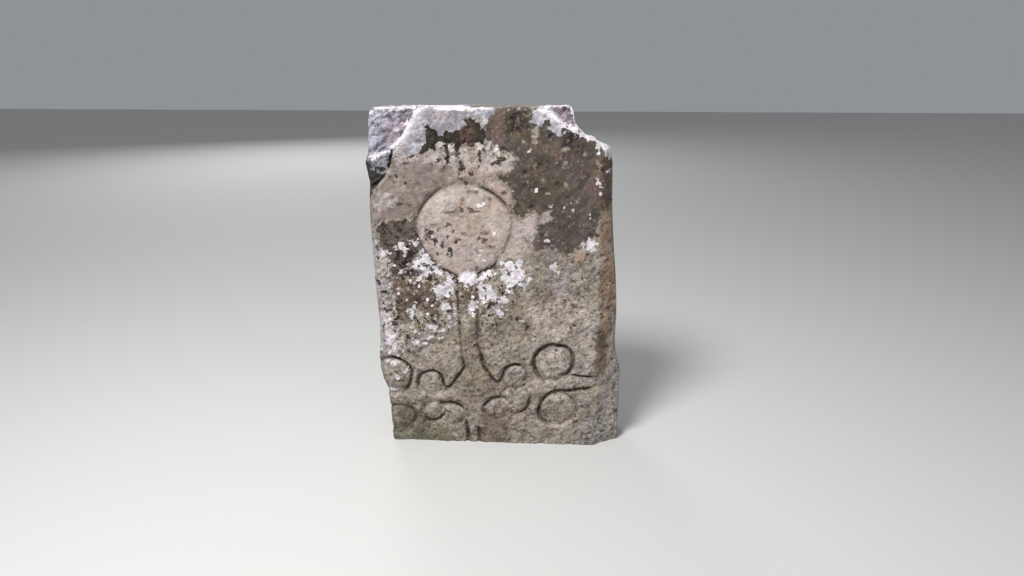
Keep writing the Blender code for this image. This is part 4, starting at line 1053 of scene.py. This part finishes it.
            (-10.0, 24.0), (-9.4, 40.0), (-5.4, 40.0), (-3.6, 25.0), (1.4, 20.0), (2.0, 15.0), (-3.0, 12.4),
            (-9.0, 10.4), (-13.4, 11.6), (-14.4, 15.0), (-11.0, 20.0),
        ],
        [(4.0, 44.0), (10.0, 43.0), (20.0, 38.0), (24.0, 31.0), (16.0, 30.0), (4.0, 30.0), (-2.0, 33.0)],
    ],
    "paleDisc": [
        [
            (-8.2, 70.0), (-13.8, 68.4), (-17.6, 65.0), (-19.4, 61.0), (-19.4, 57.0), (-17.6, 52.8),
            (-14.0, 49.0), (-9.6, 46.6), (-5.6, 46.8), (-0.6, 50.4), (2.6, 51.6), (6.6, 51.6), (8.4, 53.4),
            (7.2, 56.0), (9.6, 60.6), (8.8, 63.0), (5.0, 61.4), (3.2, 63.4), (0.6, 67.0), (-3.6, 69.4),
        ],
    ],
}

roundGrowth = {  # (across, height, radius)
    "whiteCrust": [
        (-24.3, 48.0, 0.5), (-26.5, 24.7, 0.5), (-26.8, 18.6, 0.6), (-24.2, 20.6, 0.6), (8.2, 46.6, 0.45),
        (7.9, 43.4, 0.35), (26.2, 53.1, 0.3), (-0.6, 57.9, 0.4), (-5.8, 53.1, 0.4), (13.0, 64.8, 0.5),
        (-17.6, 28.2, 0.4), (26.6, 73.7, 0.6), (25.0, 69.7, 0.35), (25.1, 68.0, 0.35), (23.9, 77.9, 0.4),
        (-20.6, 31.6, 0.35), (-19.2, 36.4, 0.3), (-10.8, 36.6, 0.35), (-12.4, 33.2, 0.3), (-2.6, 36.2, 0.3),
        (-4.0, 46.0, 0.35), (3.6, 47.6, 0.6),
    ],
    "paleSpots": [
        (11.5, 57.9, 0.5), (16.7, 51.6, 0.55), (20.1, 46.2, 0.5), (9.4, 82.8, 0.8), (16.3, 78.7, 0.5),
        (16.0, 75.3, 0.5), (11.3, 71.2, 0.45), (16.4, 70.0, 0.5), (20.8, 77.6, 0.45), (23.8, 75.5, 0.4),
        (12.4, 68.2, 0.35), (7.2, 70.8, 0.35), (19.6, 66.2, 0.35), (6.4, 80.2, 0.35), (9.0, 74.4, 0.3),
    ],
    "blackSpots": [
        (-8.0, 71.5, 0.35), (-7.4, 70.5, 0.35), (-21.7, 70.7, 0.45), (-24.5, 71.7, 0.3), (-24.6, 52.3, 0.5),
        (-27.7, 49.3, 0.4), (-28.5, 48.2, 0.3), (-27.7, 47.0, 0.3), (-29.3, 51.5, 0.3), (-16.3, 48.2, 0.4),
        (-17.7, 49.4, 0.6), (-13.2, 54.8, 0.45), (-27.4, 31.8, 0.45), (-26.4, 29.2, 0.35),
        (-22.5, 29.8, 0.4), (-20.8, 37.4, 0.5), (-21.4, 35.7, 0.4), (-13.4, 40.9, 0.4), (-10.3, 42.8, 0.3),
        (-10.2, 34.2, 0.35), (4.8, 36.0, 0.45), (7.5, 33.4, 0.45), (19.1, 34.3, 0.4), (-3.0, 44.0, 0.3),
        (-5.4, 28.2, 0.4), (12.4, 81.7, 0.55), (-28.6, 42.6, 0.35), (-29.4, 39.4, 0.3), (-28.0, 37.2, 0.3),
        (-30.2, 45.2, 0.35),
    ],
    "tan": [(12.9, 43.4, 0.6)],
    "ochre": [(-8.2, 66.2, 0.75), (-8.5, 65.1, 0.55), (4.7, 82.2, 0.35)],
}

whiteRidges = [  # line and half width of white crust and painted highlight, on the edges of the broken beds
    ([(-24.6, 79.0), (-23.0, 81.0), (-21.0, 83.5), (-19.8, 85.8), (-18.5, 87.4)], 0.55),
    ([(-30.2, 75.8), (-29.0, 76.6), (-27.0, 77.5), (-24.7, 78.6)], 0.42),
    ([(-30.4, 86.6), (-28.4, 87.4), (-24.0, 87.6), (-19.6, 87.8)], 0.55),
    ([(-24.4, 82.6), (-23.0, 83.9), (-21.2, 84.2)], 0.45),
    ([
        (10.6, 87.4), (12.4, 86.6), (14.0, 85.6), (15.0, 84.4), (16.2, 83.7), (17.8, 83.3), (19.4, 82.4),
        (20.8, 81.6),
    ], 0.55),
    ([(21.0, 81.5), (22.6, 81.0), (24.0, 80.0), (25.6, 79.3), (26.8, 78.2), (27.3, 76.4)], 0.60),
    ([(23.6, 80.0), (23.8, 78.4)], 0.28),
    ([(25.4, 79.2), (25.6, 77.4)], 0.40),
]


fieldReach = 1.5  # centimetres from a rim, past which a field stays the same

# growths on the sides and the back: size of the patches, gain and shift of their noise, and seed
asideGrowth = {
    "paleSheet": (0.13, 1.6, -0.1, 91),
    "greyCrust": (0.10, 2.4, -1.3, 93),
    "whiteCrust": (0.05, 2.6, -1.9, 94),
    "umber": (0.2, 2.4, -0.1, 95),
    "leftDark": (0.09, 2.2, -0.9, 96),
    "algae": (0.25, 2.0, -1.0, 97),
}


# centimetres inside the rim of the nearest outline or round growth, below zero outside
def growthField(spots, name):
    field = np.full(len(spots), -fieldReach)
    for outline in growth.get(name, []):
        corners = np.array(outline, float)
        near = nearShape(spots, corners, fieldReach)
        if len(near):
            gap = lineDistance(spots[near], np.vstack((corners, corners[:1])))[0]
            gap = np.where(insideShape(spots[near], corners), gap, -gap)
            field[near] = np.maximum(field[near], gap)
    for x, z, radius in roundGrowth.get(name, []):
        field = np.maximum(field, radius - np.hypot(spots[:, 0] - x, spots[:, 1] - z))
    return np.clip(field, -fieldReach, fieldReach)


# each growth as a value on the stone's points: its field on the face, with the places pushed about by
# noise, and on the sides and the back layered noise times gain plus shift
def paintFields(stone):
    count = len(stone.data.vertices)
    places = np.empty(count * 3, np.float32)
    stone.data.vertices.foreach_get("co", places)
    places = places.reshape(-1, 3).astype(float)
    pieces = facePieces(places[:, ::2])
    onFace = smoothStep(0.030, 0.004, places[:, 1] - (pieces["depth"] - slab["thickness"] / 2))
    broad = 0.36 * np.column_stack([valueNoise(places, 0.015, seed) for seed in (101, 102)])
    fine = 0.16 * np.column_stack([valueNoise(places, 0.006, seed) for seed in (103, 104)])
    warped = places[:, ::2] * 100 + broad + fine
    names = sorted(set(growth) | set(roundGrowth))
    fields = {name: growthField(warped, name) for name in names}
    # painted highlight: ridgeLight makes the grey crust paler beside the white ridges, as if lit on the
    # curved break edges
    fields["ridgeLight"] = np.zeros(count)
    for line, half in whiteRidges:
        gap = half - lineDistance(warped, smoothLine(line, 0.6))[0]
        # the ridges join the white crust field: white crust, and painted highlight on the lit break edges
        fields["whiteCrust"] = np.maximum(fields["whiteCrust"], gap)
        fields["ridgeLight"] = np.maximum(fields["ridgeLight"], smoothStep(-2.2, 0.1, gap) * onFace)

    for name, (size, gain, shift, seed) in asideGrowth.items():
        wild = np.clip(layeredNoise(places, size, 4, seed) * gain + shift, -fieldReach, fieldReach)
        fields[name] = fields[name] * onFace + wild * (1 - onFace)
    leftBroken = smoothStep(0.0, 0.010, pieces["reach"])
    broken = np.maximum(leftBroken, smoothStep(0.0, 0.006, pieces["rightReach"]))
    # a thin band along the top edge: white crust, and painted highlight where the top edge is lit
    band = 0.0045 + 0.0020 * smoothStep(-0.06, -0.09, places[:, 0])
    lit = 100 * (band - pieces["fromTop"]) + 0.8 * layeredNoise(places, 0.04, 3, 98)
    lit = lit - 1.3 * smoothStep(-0.03, 0.02, places[:, 0]) * smoothStep(0.12, 0.08, places[:, 0])
    fields["topCrustAndHighlight"] = np.where(places[:, 2] > 0.8, np.clip(lit, -fieldReach, fieldReach), -fieldReach)
    for name in names:
        if name not in asideGrowth:
            fields[name] = fields[name] * onFace - fieldReach * (1 - onFace)
    footAlgae = 1.6 * smoothStep(0.12, 0.0, places[:, 2]) * (1 - 0.7 * onFace) - 1.2
    fields["algae"] = np.maximum(fields["algae"], footAlgae)
    # darker in the cut cores and pits: soil in them, and painted shade in the recesses
    fields["cutDirtAndShade"] = np.clip(pieces["core"] / 0.0058, 0, 1) * onFace
    fields["pitDirtAndShade"] = np.clip(pieces["pits"] / 0.002, 0, 1) * onFace
    fields["brokenBed"] = broken * onFace
    # darker in the clefts: dirt, and painted shade in the cracks
    fields["cleftDirtAndShade"] = np.clip(pieces["cleft"] / 0.005, 0, 1) * onFace
    # darker in the creases of the broken beds: dirt, and painted shade
    fields["creaseDirtAndShade"] = smoothStep(0.55, 1.0, pieces["creases"]) * broken * onFace
    # painted highlight on the upper left of the round parts
    fields["domeLight"] = pieces["light"] * onFace
    for name, values in fields.items():
        layer = stone.data.attributes.new(name, "FLOAT", "POINT")
        layer.data.foreach_set("value", values.astype(np.float32))


paintFields(carvedStone)
print("growths laid out")


# shader groups shared by the layers of the finish

def linear(red, green, blue):  # from the 0 to 255 of a colour picker
    parts = [part / 255 for part in (red, green, blue)]
    return (*[part / 12.92 if part <= 0.04045 else ((part + 0.055) / 1.055) ** 2.4 for part in parts], 1)


def startGroup(name, inputs, outputs):
    group = bpy.data.node_groups.new(name, "ShaderNodeTree")
    for label, kind, value in inputs:
        socket = group.interface.new_socket(label, in_out="INPUT", socket_type=kind)
        if value is not None:
            socket.default_value = value
    for label, kind in outputs:
        group.interface.new_socket(label, in_out="OUTPUT", socket_type=kind)
    entry = group.nodes.new("NodeGroupInput")
    leave = group.nodes.new("NodeGroupOutput")
    return group, entry.outputs, leave.inputs


def feed(tree, socket, value):  # a plain value is set on the socket, and anything else is linked to it
    if isinstance(value, (int, float, tuple)):
        socket.default_value = value
    elif value is not None:
        tree.links.new(value, socket)


def mathNode(tree, operation, first, second=None):
    node = tree.nodes.new("ShaderNodeMath")
    node.operation = operation
    feed(tree, node.inputs[0], first)
    feed(tree, node.inputs[1], second)
    return node.outputs[0]


def easeNode(tree, value, low, high):
    node = tree.nodes.new("ShaderNodeMapRange")
    node.interpolation_type = "SMOOTHSTEP"
    feed(tree, node.inputs["Value"], value)
    feed(tree, node.inputs["From Min"], low)
    feed(tree, node.inputs["From Max"], high)
    return node.outputs["Result"]


def noiseNode(tree, vector, scale, detail=4.0, roughness=0.55, offset=(0.0, 0.0, 0.0)):
    move = tree.nodes.new("ShaderNodeVectorMath")
    move.operation = "ADD"
    feed(tree, move.inputs[0], vector)
    feed(tree, move.inputs[1], offset)
    node = tree.nodes.new("ShaderNodeTexNoise")
    tree.links.new(move.outputs[0], node.inputs["Vector"])
    feed(tree, node.inputs["Scale"], scale)
    node.inputs["Detail"].default_value = detail
    node.inputs["Roughness"].default_value = roughness
    return node.outputs["Fac"]


def mixColor(tree, factor, first, second, blend="MIX"):
    node = tree.nodes.new("ShaderNodeMix")
    node.data_type = "RGBA"
    node.blend_type = blend
    feed(tree, node.inputs[0], factor)
    feed(tree, node.inputs[6], first)
    feed(tree, node.inputs[7], second)
    return node.outputs[2]


def weighted(tree, value, weight, middle=0.0):  # (value - middle) * weight
    return mathNode(tree, "MULTIPLY", mathNode(tree, "SUBTRACT", value, middle), weight)


# a growth with a lobed, frayed rim: its field in centimetres plus cells and noise, eased from out to in
def makePatchGroup():
    group, given, out = startGroup(
        "patchEdge",
        [
            ("Vector", "NodeSocketVector", None), ("Field", "NodeSocketFloat", 0.0),
            ("Lobes", "NodeSocketFloat", 1.0), ("Fray", "NodeSocketFloat", 0.6),
            ("Softness", "NodeSocketFloat", 0.08),
        ],
        [("Mask", "NodeSocketFloat")],
    )
    cells = group.nodes.new("ShaderNodeTexVoronoi")
    group.links.new(given["Vector"], cells.inputs["Vector"])
    cells.inputs["Scale"].default_value = 100.0
    bulge = mathNode(group, "SUBTRACT", 0.50, cells.outputs["Distance"])
    lobes = mathNode(group, "MULTIPLY", bulge, given["Lobes"])
    rimNoise = noiseNode(group, given["Vector"], 95.0, 3.0, 0.58, (3.1, 7.7, 5.3))
    fray = weighted(group, rimNoise, given["Fray"], 0.5)
    pushed = mathNode(group, "ADD", given["Field"], mathNode(group, "ADD", lobes, fray))
    low = mathNode(group, "MULTIPLY", given["Softness"], -1.0)
    group.links.new(easeNode(group, pushed, low, given["Softness"]), out["Mask"])
    return group


def makeDotsGroup():  # scattered dots: cells of random places, kept by chance, with frayed rims
    group, given, out = startGroup(
        "dots",
        [
            ("Vector", "NodeSocketVector", None), ("Scale", "NodeSocketFloat", 150.0),
            ("Amount", "NodeSocketFloat", 0.3), ("Size", "NodeSocketFloat", 0.35),
        ],
        [("Mask", "NodeSocketFloat")],
    )
    cells = group.nodes.new("ShaderNodeTexVoronoi")
    group.links.new(given["Vector"], cells.inputs["Vector"])
    group.links.new(given["Scale"], cells.inputs["Scale"])
    split = group.nodes.new("ShaderNodeSeparateColor")
    group.links.new(cells.outputs["Color"], split.inputs[0])
    kept = mathNode(group, "LESS_THAN", split.outputs[0], given["Amount"])
    fray = weighted(group, noiseNode(group, given["Vector"], 330.0, 2.0), 0.6, 0.5)
    wide = mathNode(group, "MULTIPLY", given["Size"], mathNode(group, "ADD", split.outputs[1], 0.35))
    gap = mathNode(group, "SUBTRACT", wide, mathNode(group, "ADD", cells.outputs["Distance"], fray))
    group.links.new(mathNode(group, "MULTIPLY", kept, easeNode(group, gap, -0.05, 0.10)), out["Mask"])
    return group


def makeGrainGroup():  # the stone itself: clouds of tone, mottle, quartz grain, and the height of them all
    group, given, out = startGroup(
        "stoneGrain",
        [
            ("Vector", "NodeSocketVector", None), ("Contrast", "NodeSocketFloat", 1.0),
        ],
        [
            ("Cloud", "NodeSocketFloat"), ("Mottle", "NodeSocketFloat"), ("Grain", "NodeSocketFloat"),
            ("Tone", "NodeSocketFloat"), ("Height", "NodeSocketFloat"),
        ],
    )
    cloud = noiseNode(group, given["Vector"], 16.0, 3.0, 0.6)
    blotch = noiseNode(group, given["Vector"], 34.0, 3.0, 0.6, (4.4, 1.2, 8.8))
    mottle = noiseNode(group, given["Vector"], 85.0, 3.0, 0.62, (1.7, 4.1, 2.9))
    grain = noiseNode(group, given["Vector"], 215.0, 2.0, 0.6, (8.3, 2.2, 6.1))
    slant = group.nodes.new("ShaderNodeMapping")
    group.links.new(given["Vector"], slant.inputs["Vector"])
    slant.vector_type = "TEXTURE"
    slant.inputs["Rotation"].default_value = (0.0, math.radians(-33), 0.0)
    slant.inputs["Scale"].default_value = (1.9, 1.0, 1.0)
    streak = noiseNode(group, slant.outputs["Vector"], 100.0, 3.0, 0.6, (6.6, 0.4, 3.3))
    group.links.new(easeNode(group, cloud, 0.38, 0.62), out["Cloud"])
    group.links.new(easeNode(group, mottle, 0.34, 0.66), out["Mottle"])
    group.links.new(easeNode(group, grain, 0.30, 0.70), out["Grain"])
    tone = mathNode(group, "ADD", weighted(group, blotch, 1.0, 0.5), weighted(group, mottle, 1.1, 0.5))
    tone = mathNode(group, "ADD", tone, weighted(group, grain, 0.9, 0.5))
    tone = mathNode(group, "ADD", tone, weighted(group, streak, 0.95, 0.5))
    tone = mathNode(group, "ADD", mathNode(group, "MULTIPLY", tone, given["Contrast"]), 1.0)
    group.links.new(mathNode(group, "MAXIMUM", tone, 0.25), out["Tone"])
    height = mathNode(group, "ADD", weighted(group, streak, 1.0), weighted(group, grain, 0.8))
    group.links.new(mathNode(group, "MULTIPLY", height, given["Contrast"]), out["Height"])
    return group


patchEdge, dots, stoneGrain = makePatchGroup(), makeDotsGroup(), makeGrainGroup()

finish = {
    "stoneWarm": linear(154, 143, 129),
    "stoneGrey": linear(150, 142, 134),
    "stoneDark": linear(98, 86, 74),
    "paleFleck": linear(184, 174, 168),
    "darkFleck": linear(66, 53, 44),
    "lavender": linear(138, 129, 134),
    "umberDark": linear(46, 40, 34),
    "umberLight": linear(86, 76, 69),
    "umberPink": linear(104, 85, 77),
    "umberWarm": linear(96, 78, 62),
    "paleShade": linear(98, 87, 80),
    "paleTone": linear(139, 130, 124),
    "palePink": linear(152, 136, 128),
    "discShade": linear(142, 129, 121),
    "discTone": linear(184, 174, 169),
    "band": linear(190, 182, 186),
    "leftDark": linear(54, 47, 42),
    "greyCrust": linear(154, 150, 158),
    "greyCrustLight": linear(188, 185, 196),
    "greyCrustShade": linear(120, 115, 121),
    "white": linear(234, 229, 234),
    "whiteShade": linear(186, 178, 182),
    "paleSpots": linear(190, 178, 166),
    "film": linear(13, 12, 10),
    "filmBrown": linear(44, 35, 28),
    "brownSpots": linear(78, 60, 46),
    "rust": linear(58, 45, 33),
    "rustLight": linear(108, 87, 69),
    "ochre": linear(132, 94, 42),
    "tanLight": linear(172, 148, 130),
    "tan": linear(122, 93, 72),
    "oliveBrown": linear(110, 96, 76),
    "paleCrust": linear(178, 168, 165),
    "moss": linear(34, 31, 18),
    "flare": linear(160, 154, 152),
    "bottomRed": linear(94, 74, 62),
    "algae": linear(96, 94, 72),
    "algaeDark": linear(70, 68, 50),
    "hollow": linear(88, 72, 58),
    "bedLavender": linear(144, 144, 158),
    "beigeCrust": linear(186, 175, 170),
    "paleBed": linear(192, 194, 208),
    # paler arm: stone tone, partly a painted highlight
    "paleArm": linear(186, 175, 168),
    "bedRosy": linear(134, 112, 124),
    "rosyCrust": linear(148, 135, 138),
    "darkUmber": linear(34, 32, 29),
    "pinkSheet": linear(178, 158, 148),
    "redFilm": linear(84, 60, 50),
    "discPink": linear(174, 155, 144),
    "leftDarkLight": linear(90, 78, 71),
    "umberOlive": linear(78, 73, 57),
    "umberViolet": linear(80, 71, 73),
    "rustPink": linear(158, 128, 112),
    "bandTop": linear(164, 156, 151),
    "bedPink": linear(134, 126, 138),
    "cutDirtAndShade": linear(52, 43, 30),
    "cleftDirtAndShade": linear(34, 30, 22),
    "dots": linear(44, 38, 34),
    "roughLow": 0.80,
    "roughHigh": 0.97,
    "bumpStrength": 0.85,
    "bumpDistance": 0.0030,
}


rims = {  # lobes, fray and softness of each growth's rim
    "paleSheet": (1.1, 2.0, 0.10),
    "umber": (0.0, 5.0, 0.25),
    "greyCrust": (1.3, 0.9, 0.10),
    "whiteCrust": (1.2, 1.2, 0.10),
    "topCrustAndHighlight": (0.8, 2.0, 0.25),
    "lavender": (0.0, 7.0, 0.9),
    "pinkUmber": (0.0, 9.0, 0.9),
    "darkUmber": (0.0, 9.0, 0.9),
    "leftBand": (0.8, 5.0, 0.35),
    "bottomRed": (0.0, 8.0, 1.2),
    "flare": (0.0, 7.0, 0.9),
    "oliveBrown": (0.0, 8.0, 1.0),
    "paleArm": (0.0, 8.0, 1.2),
    "hollow": (0.0, 3.0, 0.8),
    "tan": (0.0, 5.0, 0.5),
    "rust": (0.0, 11.0, 0.6),
    "leftDark": (0.0, 6.5, 0.40),
    "paleDisc": (0.0, 4.0, 0.7),
    "pinkSheet": (0.0, 6.0, 0.9),
    "paleCrust": (1.4, 1.2, 0.14),
    "brownSpots": (0.6, 1.6, 0.15),
    "ochre": (0.6, 1.4, 0.25),
    "rosyBed": (0.0, 6.0, 0.9),
    "paleBed": (0.0, 7.0, 1.2),
    "lace": (0.0, 3.0, 0.5),
    "darkLace": (0.0, 3.0, 0.5),
    "blackSpots": (0.3, 4.5, 0.14),
    "redFilm": (0.0, 6.0, 0.6),
    "rosyCrust": (0.0, 8.0, 0.8),
    "paleSpots": (0.8, 2.6, 0.40),
    "beigeCrust": (1.2, 1.2, 0.12),
    "algae": (0.0, 8.0, 0.9),
    "moss": (0.0, 4.0, 0.3),
    "darkFilm": (0.0, 2.2, 0.12),
    "specks": (0.0, 3.0, 0.8),
}

broadTones = {"bottomRed": 0.5, "flare": 0.6, "oliveBrown": 0.32, "paleArm": 0.36, "hollow": 0.75}  # strengths; the pale arm is partly painted highlight, and the hollow is darker in the right chamfer


def makeStoneMaterial():
    material = bpy.data.materials.new("weatheredSandstone")
    material.use_nodes = True
    tree = material.node_tree
    shader = tree.nodes["Principled BSDF"]
    vector = tree.nodes.new("ShaderNodeTexCoord").outputs["Object"]

    def attribute(name):
        node = tree.nodes.new("ShaderNodeAttribute")
        node.attribute_name = name
        return node.outputs["Fac"]

    def place(group, **values):
        node = tree.nodes.new("ShaderNodeGroup")
        node.node_tree = group
        tree.links.new(vector, node.inputs["Vector"])
        for label, value in values.items():
            feed(tree, node.inputs[label], value)
        return node.outputs

    def patch(name, rim=None, grown=0.0):  # the growth's mask, pushed out by so many centimetres
        lobes, fray, softness = rim or rims[name]
        field = mathNode(tree, "ADD", attribute(name), grown) if grown else attribute(name)
        return place(patchEdge, Field=field, Lobes=lobes, Fray=fray, Softness=softness)["Mask"]

    def times(first, second):
        return mathNode(tree, "MULTIPLY", first, second)

    def most(first, second):
        return mathNode(tree, "MAXIMUM", first, second)

    def less(mask, share):  # 1 minus a share of the mask
        return mathNode(tree, "SUBTRACT", 1.0, times(mask, share))

    def clouds(low, high, *noise):  # noise eased from low to high
        return easeNode(tree, noiseNode(tree, vector, *noise), low, high)

    def layer(color, mask, strength, tone):  # the tone over the colour, where the mask is
        return mixColor(tree, times(mask, strength), color, finish[tone] if isinstance(tone, str) else tone)

    def pair(factor, first, second):
        return mixColor(tree, factor, finish[first], finish[second])

    sheet = patch("paleSheet")
    umber = patch("umber")
    bed = attribute("brokenBed")
    film = patch("darkFilm", grown=0.12)
    grey = times(patch("greyCrust"), less(bed, 1.0))
    white = patch("whiteCrust")
    # the white crust, with the top edge's painted highlight
    white = most(white, patch("topCrustAndHighlight"))
    crust = most(white, grey)
    calm = most(most(umber, sheet), crust)
    grain = place(stoneGrain, Contrast=mathNode(tree, "SUBTRACT", 1.6, times(calm, 0.7)))
    cloud, mottle, fleck = grain["Cloud"], grain["Mottle"], grain["Grain"]
    color = pair(cloud, "stoneWarm", "stoneGrey")
    color = layer(color, mottle, 0.38, "stoneDark")
    paleFleck = clouds(0.54, 0.70, 120.0, 3.0, 0.65, (2.2, 6.1, 9.4))
    darkFleck = clouds(0.46, 0.32, 80.0, 3.0, 0.65, (7.5, 3.3, 1.2))
    color = layer(color, paleFleck, 0.55, "paleFleck")
    color = layer(color, patch("lavender"), 0.6, "lavender")
    hue = clouds(0.40, 0.60, 20.0, 3.0, 0.6, (0.9, 8.2, 4.4))
    umberTone = layer(pair(hue, "umberOlive", "umberViolet"), cloud, 0.5, "umberLight")
    color = layer(color, umber, 0.92, layer(umberTone, mottle, 0.9, "umberDark"))
    color = layer(color, times(umber, clouds(0.50, 0.68, 26.0, 4.0, 0.65)), 0.6, "umberWarm")
    color = layer(color, patch("pinkUmber"), 0.65, "umberPink")
    color = layer(color, patch("darkUmber"), 0.95, "darkUmber")
    color = layer(color, patch("leftBand"), 0.8, pair(cloud, "band", "bandTop"))
    for name, strength in broadTones.items():
        color = layer(color, patch(name), strength, name)
    color = layer(color, patch("tan"), 0.75, pair(mottle, "tanLight", "tan"))
    rust = patch("rust")
    color = layer(color, rust, 0.85, pair(mottle, "rustLight", "rust"))
    color = layer(color, times(rust, paleFleck), 0.6, "rustPink")
    color = layer(color, patch("leftDark"), 0.85, pair(mottle, "leftDarkLight", "leftDark"))

    sheetTone = layer(pair(cloud, "paleTone", "palePink"), mottle, 0.8, "paleShade")
    discTone = layer(pair(cloud, "discTone", "discPink"), mottle, 0.6, "discShade")
    sheetTone = layer(sheetTone, patch("paleDisc"), 1.0, discTone)
    sheetTone = layer(sheetTone, patch("pinkSheet"), 0.7, "pinkSheet")
    color = layer(color, sheet, 0.94, sheetTone)
    color = layer(color, patch("paleCrust"), 0.55, "paleCrust")
    color = layer(color, times(darkFleck, less(sheet, 0.6)), 0.18, "darkFleck")
    # painted highlight: the round parts paler on their upper left
    color = layer(color, attribute("domeLight"), 0.42, "paleFleck")
    color = layer(color, patch("brownSpots"), 0.85, "brownSpots")
    color = layer(color, patch("ochre"), 0.6, "ochre")

    bedTone = layer(pair(cloud, "bedLavender", "bedPink"), patch("rosyBed"), 0.7, "bedRosy")
    bedTone = layer(bedTone, patch("paleBed"), 0.35, "paleBed")
    color = layer(color, bed, 0.9, bedTone)
    # dirt and painted shade in the creases of the broken beds
    color = layer(color, attribute("creaseDirtAndShade"), 0.38, "umberDark")

    # soil and painted shade in the cuts and pits
    dirtAndShade = most(attribute("cutDirtAndShade"), times(attribute("pitDirtAndShade"), 0.45))
    dirtAndShade = times(dirtAndShade, less(fleck, 0.35))
    color = layer(color, dirtAndShade, 0.92, "cutDirtAndShade")

    laceNoise = noiseNode(tree, vector, 62.0, 4.0, 0.66, (5.5, 0.7, 3.9))
    leftLace = patch("lace")
    darkLace = times(easeNode(tree, laceNoise, 0.575, 0.600), patch("darkLace"))
    darkLace = most(darkLace, times(easeNode(tree, laceNoise, 0.585, 0.610), leftLace))
    darkLace = most(darkLace, patch("blackSpots"))
    filmShare = clouds(0.40, 0.58, 60.0, 4.0, 0.65, (9.1, 4.2, 0.6))
    filmTone = pair(filmShare, "filmBrown", "film")
    redFilm = layer(filmTone, patch("redFilm"), 0.65, "redFilm")
    color = layer(color, film, 0.94, redFilm)
    greyTone = pair(mottle, "greyCrust", "greyCrustShade")
    greyTone = layer(greyTone, clouds(0.50, 0.62, 48.0, 4.0, 0.65), 0.65, "greyCrustLight")
    greyTone = layer(greyTone, patch("rosyCrust"), 0.7, "rosyCrust")
    color = layer(color, grey, 0.94, greyTone)
    # painted highlight on the grey crust beside the white ridges
    color = layer(color, times(grey, attribute("ridgeLight")), 0.35, "white")
    color = layer(color, patch("paleSpots"), 0.5, "paleSpots")
    color = layer(color, patch("beigeCrust"), 0.92, "beigeCrust")
    lace = times(easeNode(tree, laceNoise, 0.422, 0.395), leftLace)
    lace = times(lace, less(rust, 0.7))
    white = most(white, lace)
    color = layer(color, white, 0.94, pair(mottle, "white", "whiteShade"))
    color = layer(color, darkLace, 0.90, filmTone)

    paleDots = place(dots, Scale=120.0, Amount=times(umber, 0.20), Size=0.36)["Mask"]
    color = layer(color, paleDots, 0.25, "paleSpots")
    leftSpeck = most(patch("leftBand", rims["specks"]), patch("rust", rims["specks"]))
    whiteDots = place(dots, Scale=95.0, Amount=times(leftSpeck, 0.10), Size=0.45)["Mask"]
    color = layer(color, whiteDots, 0.8, "white")
    blackAmount = mathNode(tree, "ADD", times(leftSpeck, 0.10), 0.012)
    blackDots = place(dots, Scale=100.0, Amount=blackAmount, Size=0.44)["Mask"]
    color = layer(color, blackDots, 0.8, "dots")

    algae = patch("algae")
    color = layer(color, algae, 0.6, pair(mottle, "algae", "algaeDark"))
    # moss and painted shade under the chunk
    color = layer(color, patch("moss"), 0.9, "moss")
    # dirt and painted shade in the clefts
    color = layer(color, attribute("cleftDirtAndShade"), 0.9, "cleftDirtAndShade")
    color = mixColor(tree, 1.0, color, grain["Tone"], "MULTIPLY")
    tree.links.new(color, shader.inputs["Base Color"])

    rough = tree.nodes.new("ShaderNodeMapRange")
    tree.links.new(fleck, rough.inputs["Value"])
    rough.inputs["To Min"].default_value = finish["roughHigh"]
    rough.inputs["To Max"].default_value = finish["roughLow"]
    tree.links.new(rough.outputs["Result"], shader.inputs["Roughness"])
    shader.inputs["Specular IOR Level"].default_value = 0.25

    raised = mathNode(tree, "ADD", times(crust, 0.35), times(sheet, 0.20))
    raised = mathNode(tree, "ADD", raised, grain["Height"])
    raised = mathNode(tree, "SUBTRACT", raised, times(blackDots, 0.25))
    bump = tree.nodes.new("ShaderNodeBump")
    bump.inputs["Strength"].default_value = finish["bumpStrength"]
    bump.inputs["Distance"].default_value = finish["bumpDistance"]
    tree.links.new(raised, bump.inputs["Height"])
    tree.links.new(bump.outputs["Normal"], shader.inputs["Normal"])
    return material


carvedStone.data.materials.clear()
carvedStone.data.materials.append(makeStoneMaterial())
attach(carvedStone, "root")
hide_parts("grave_slab")
print("finish laid on")
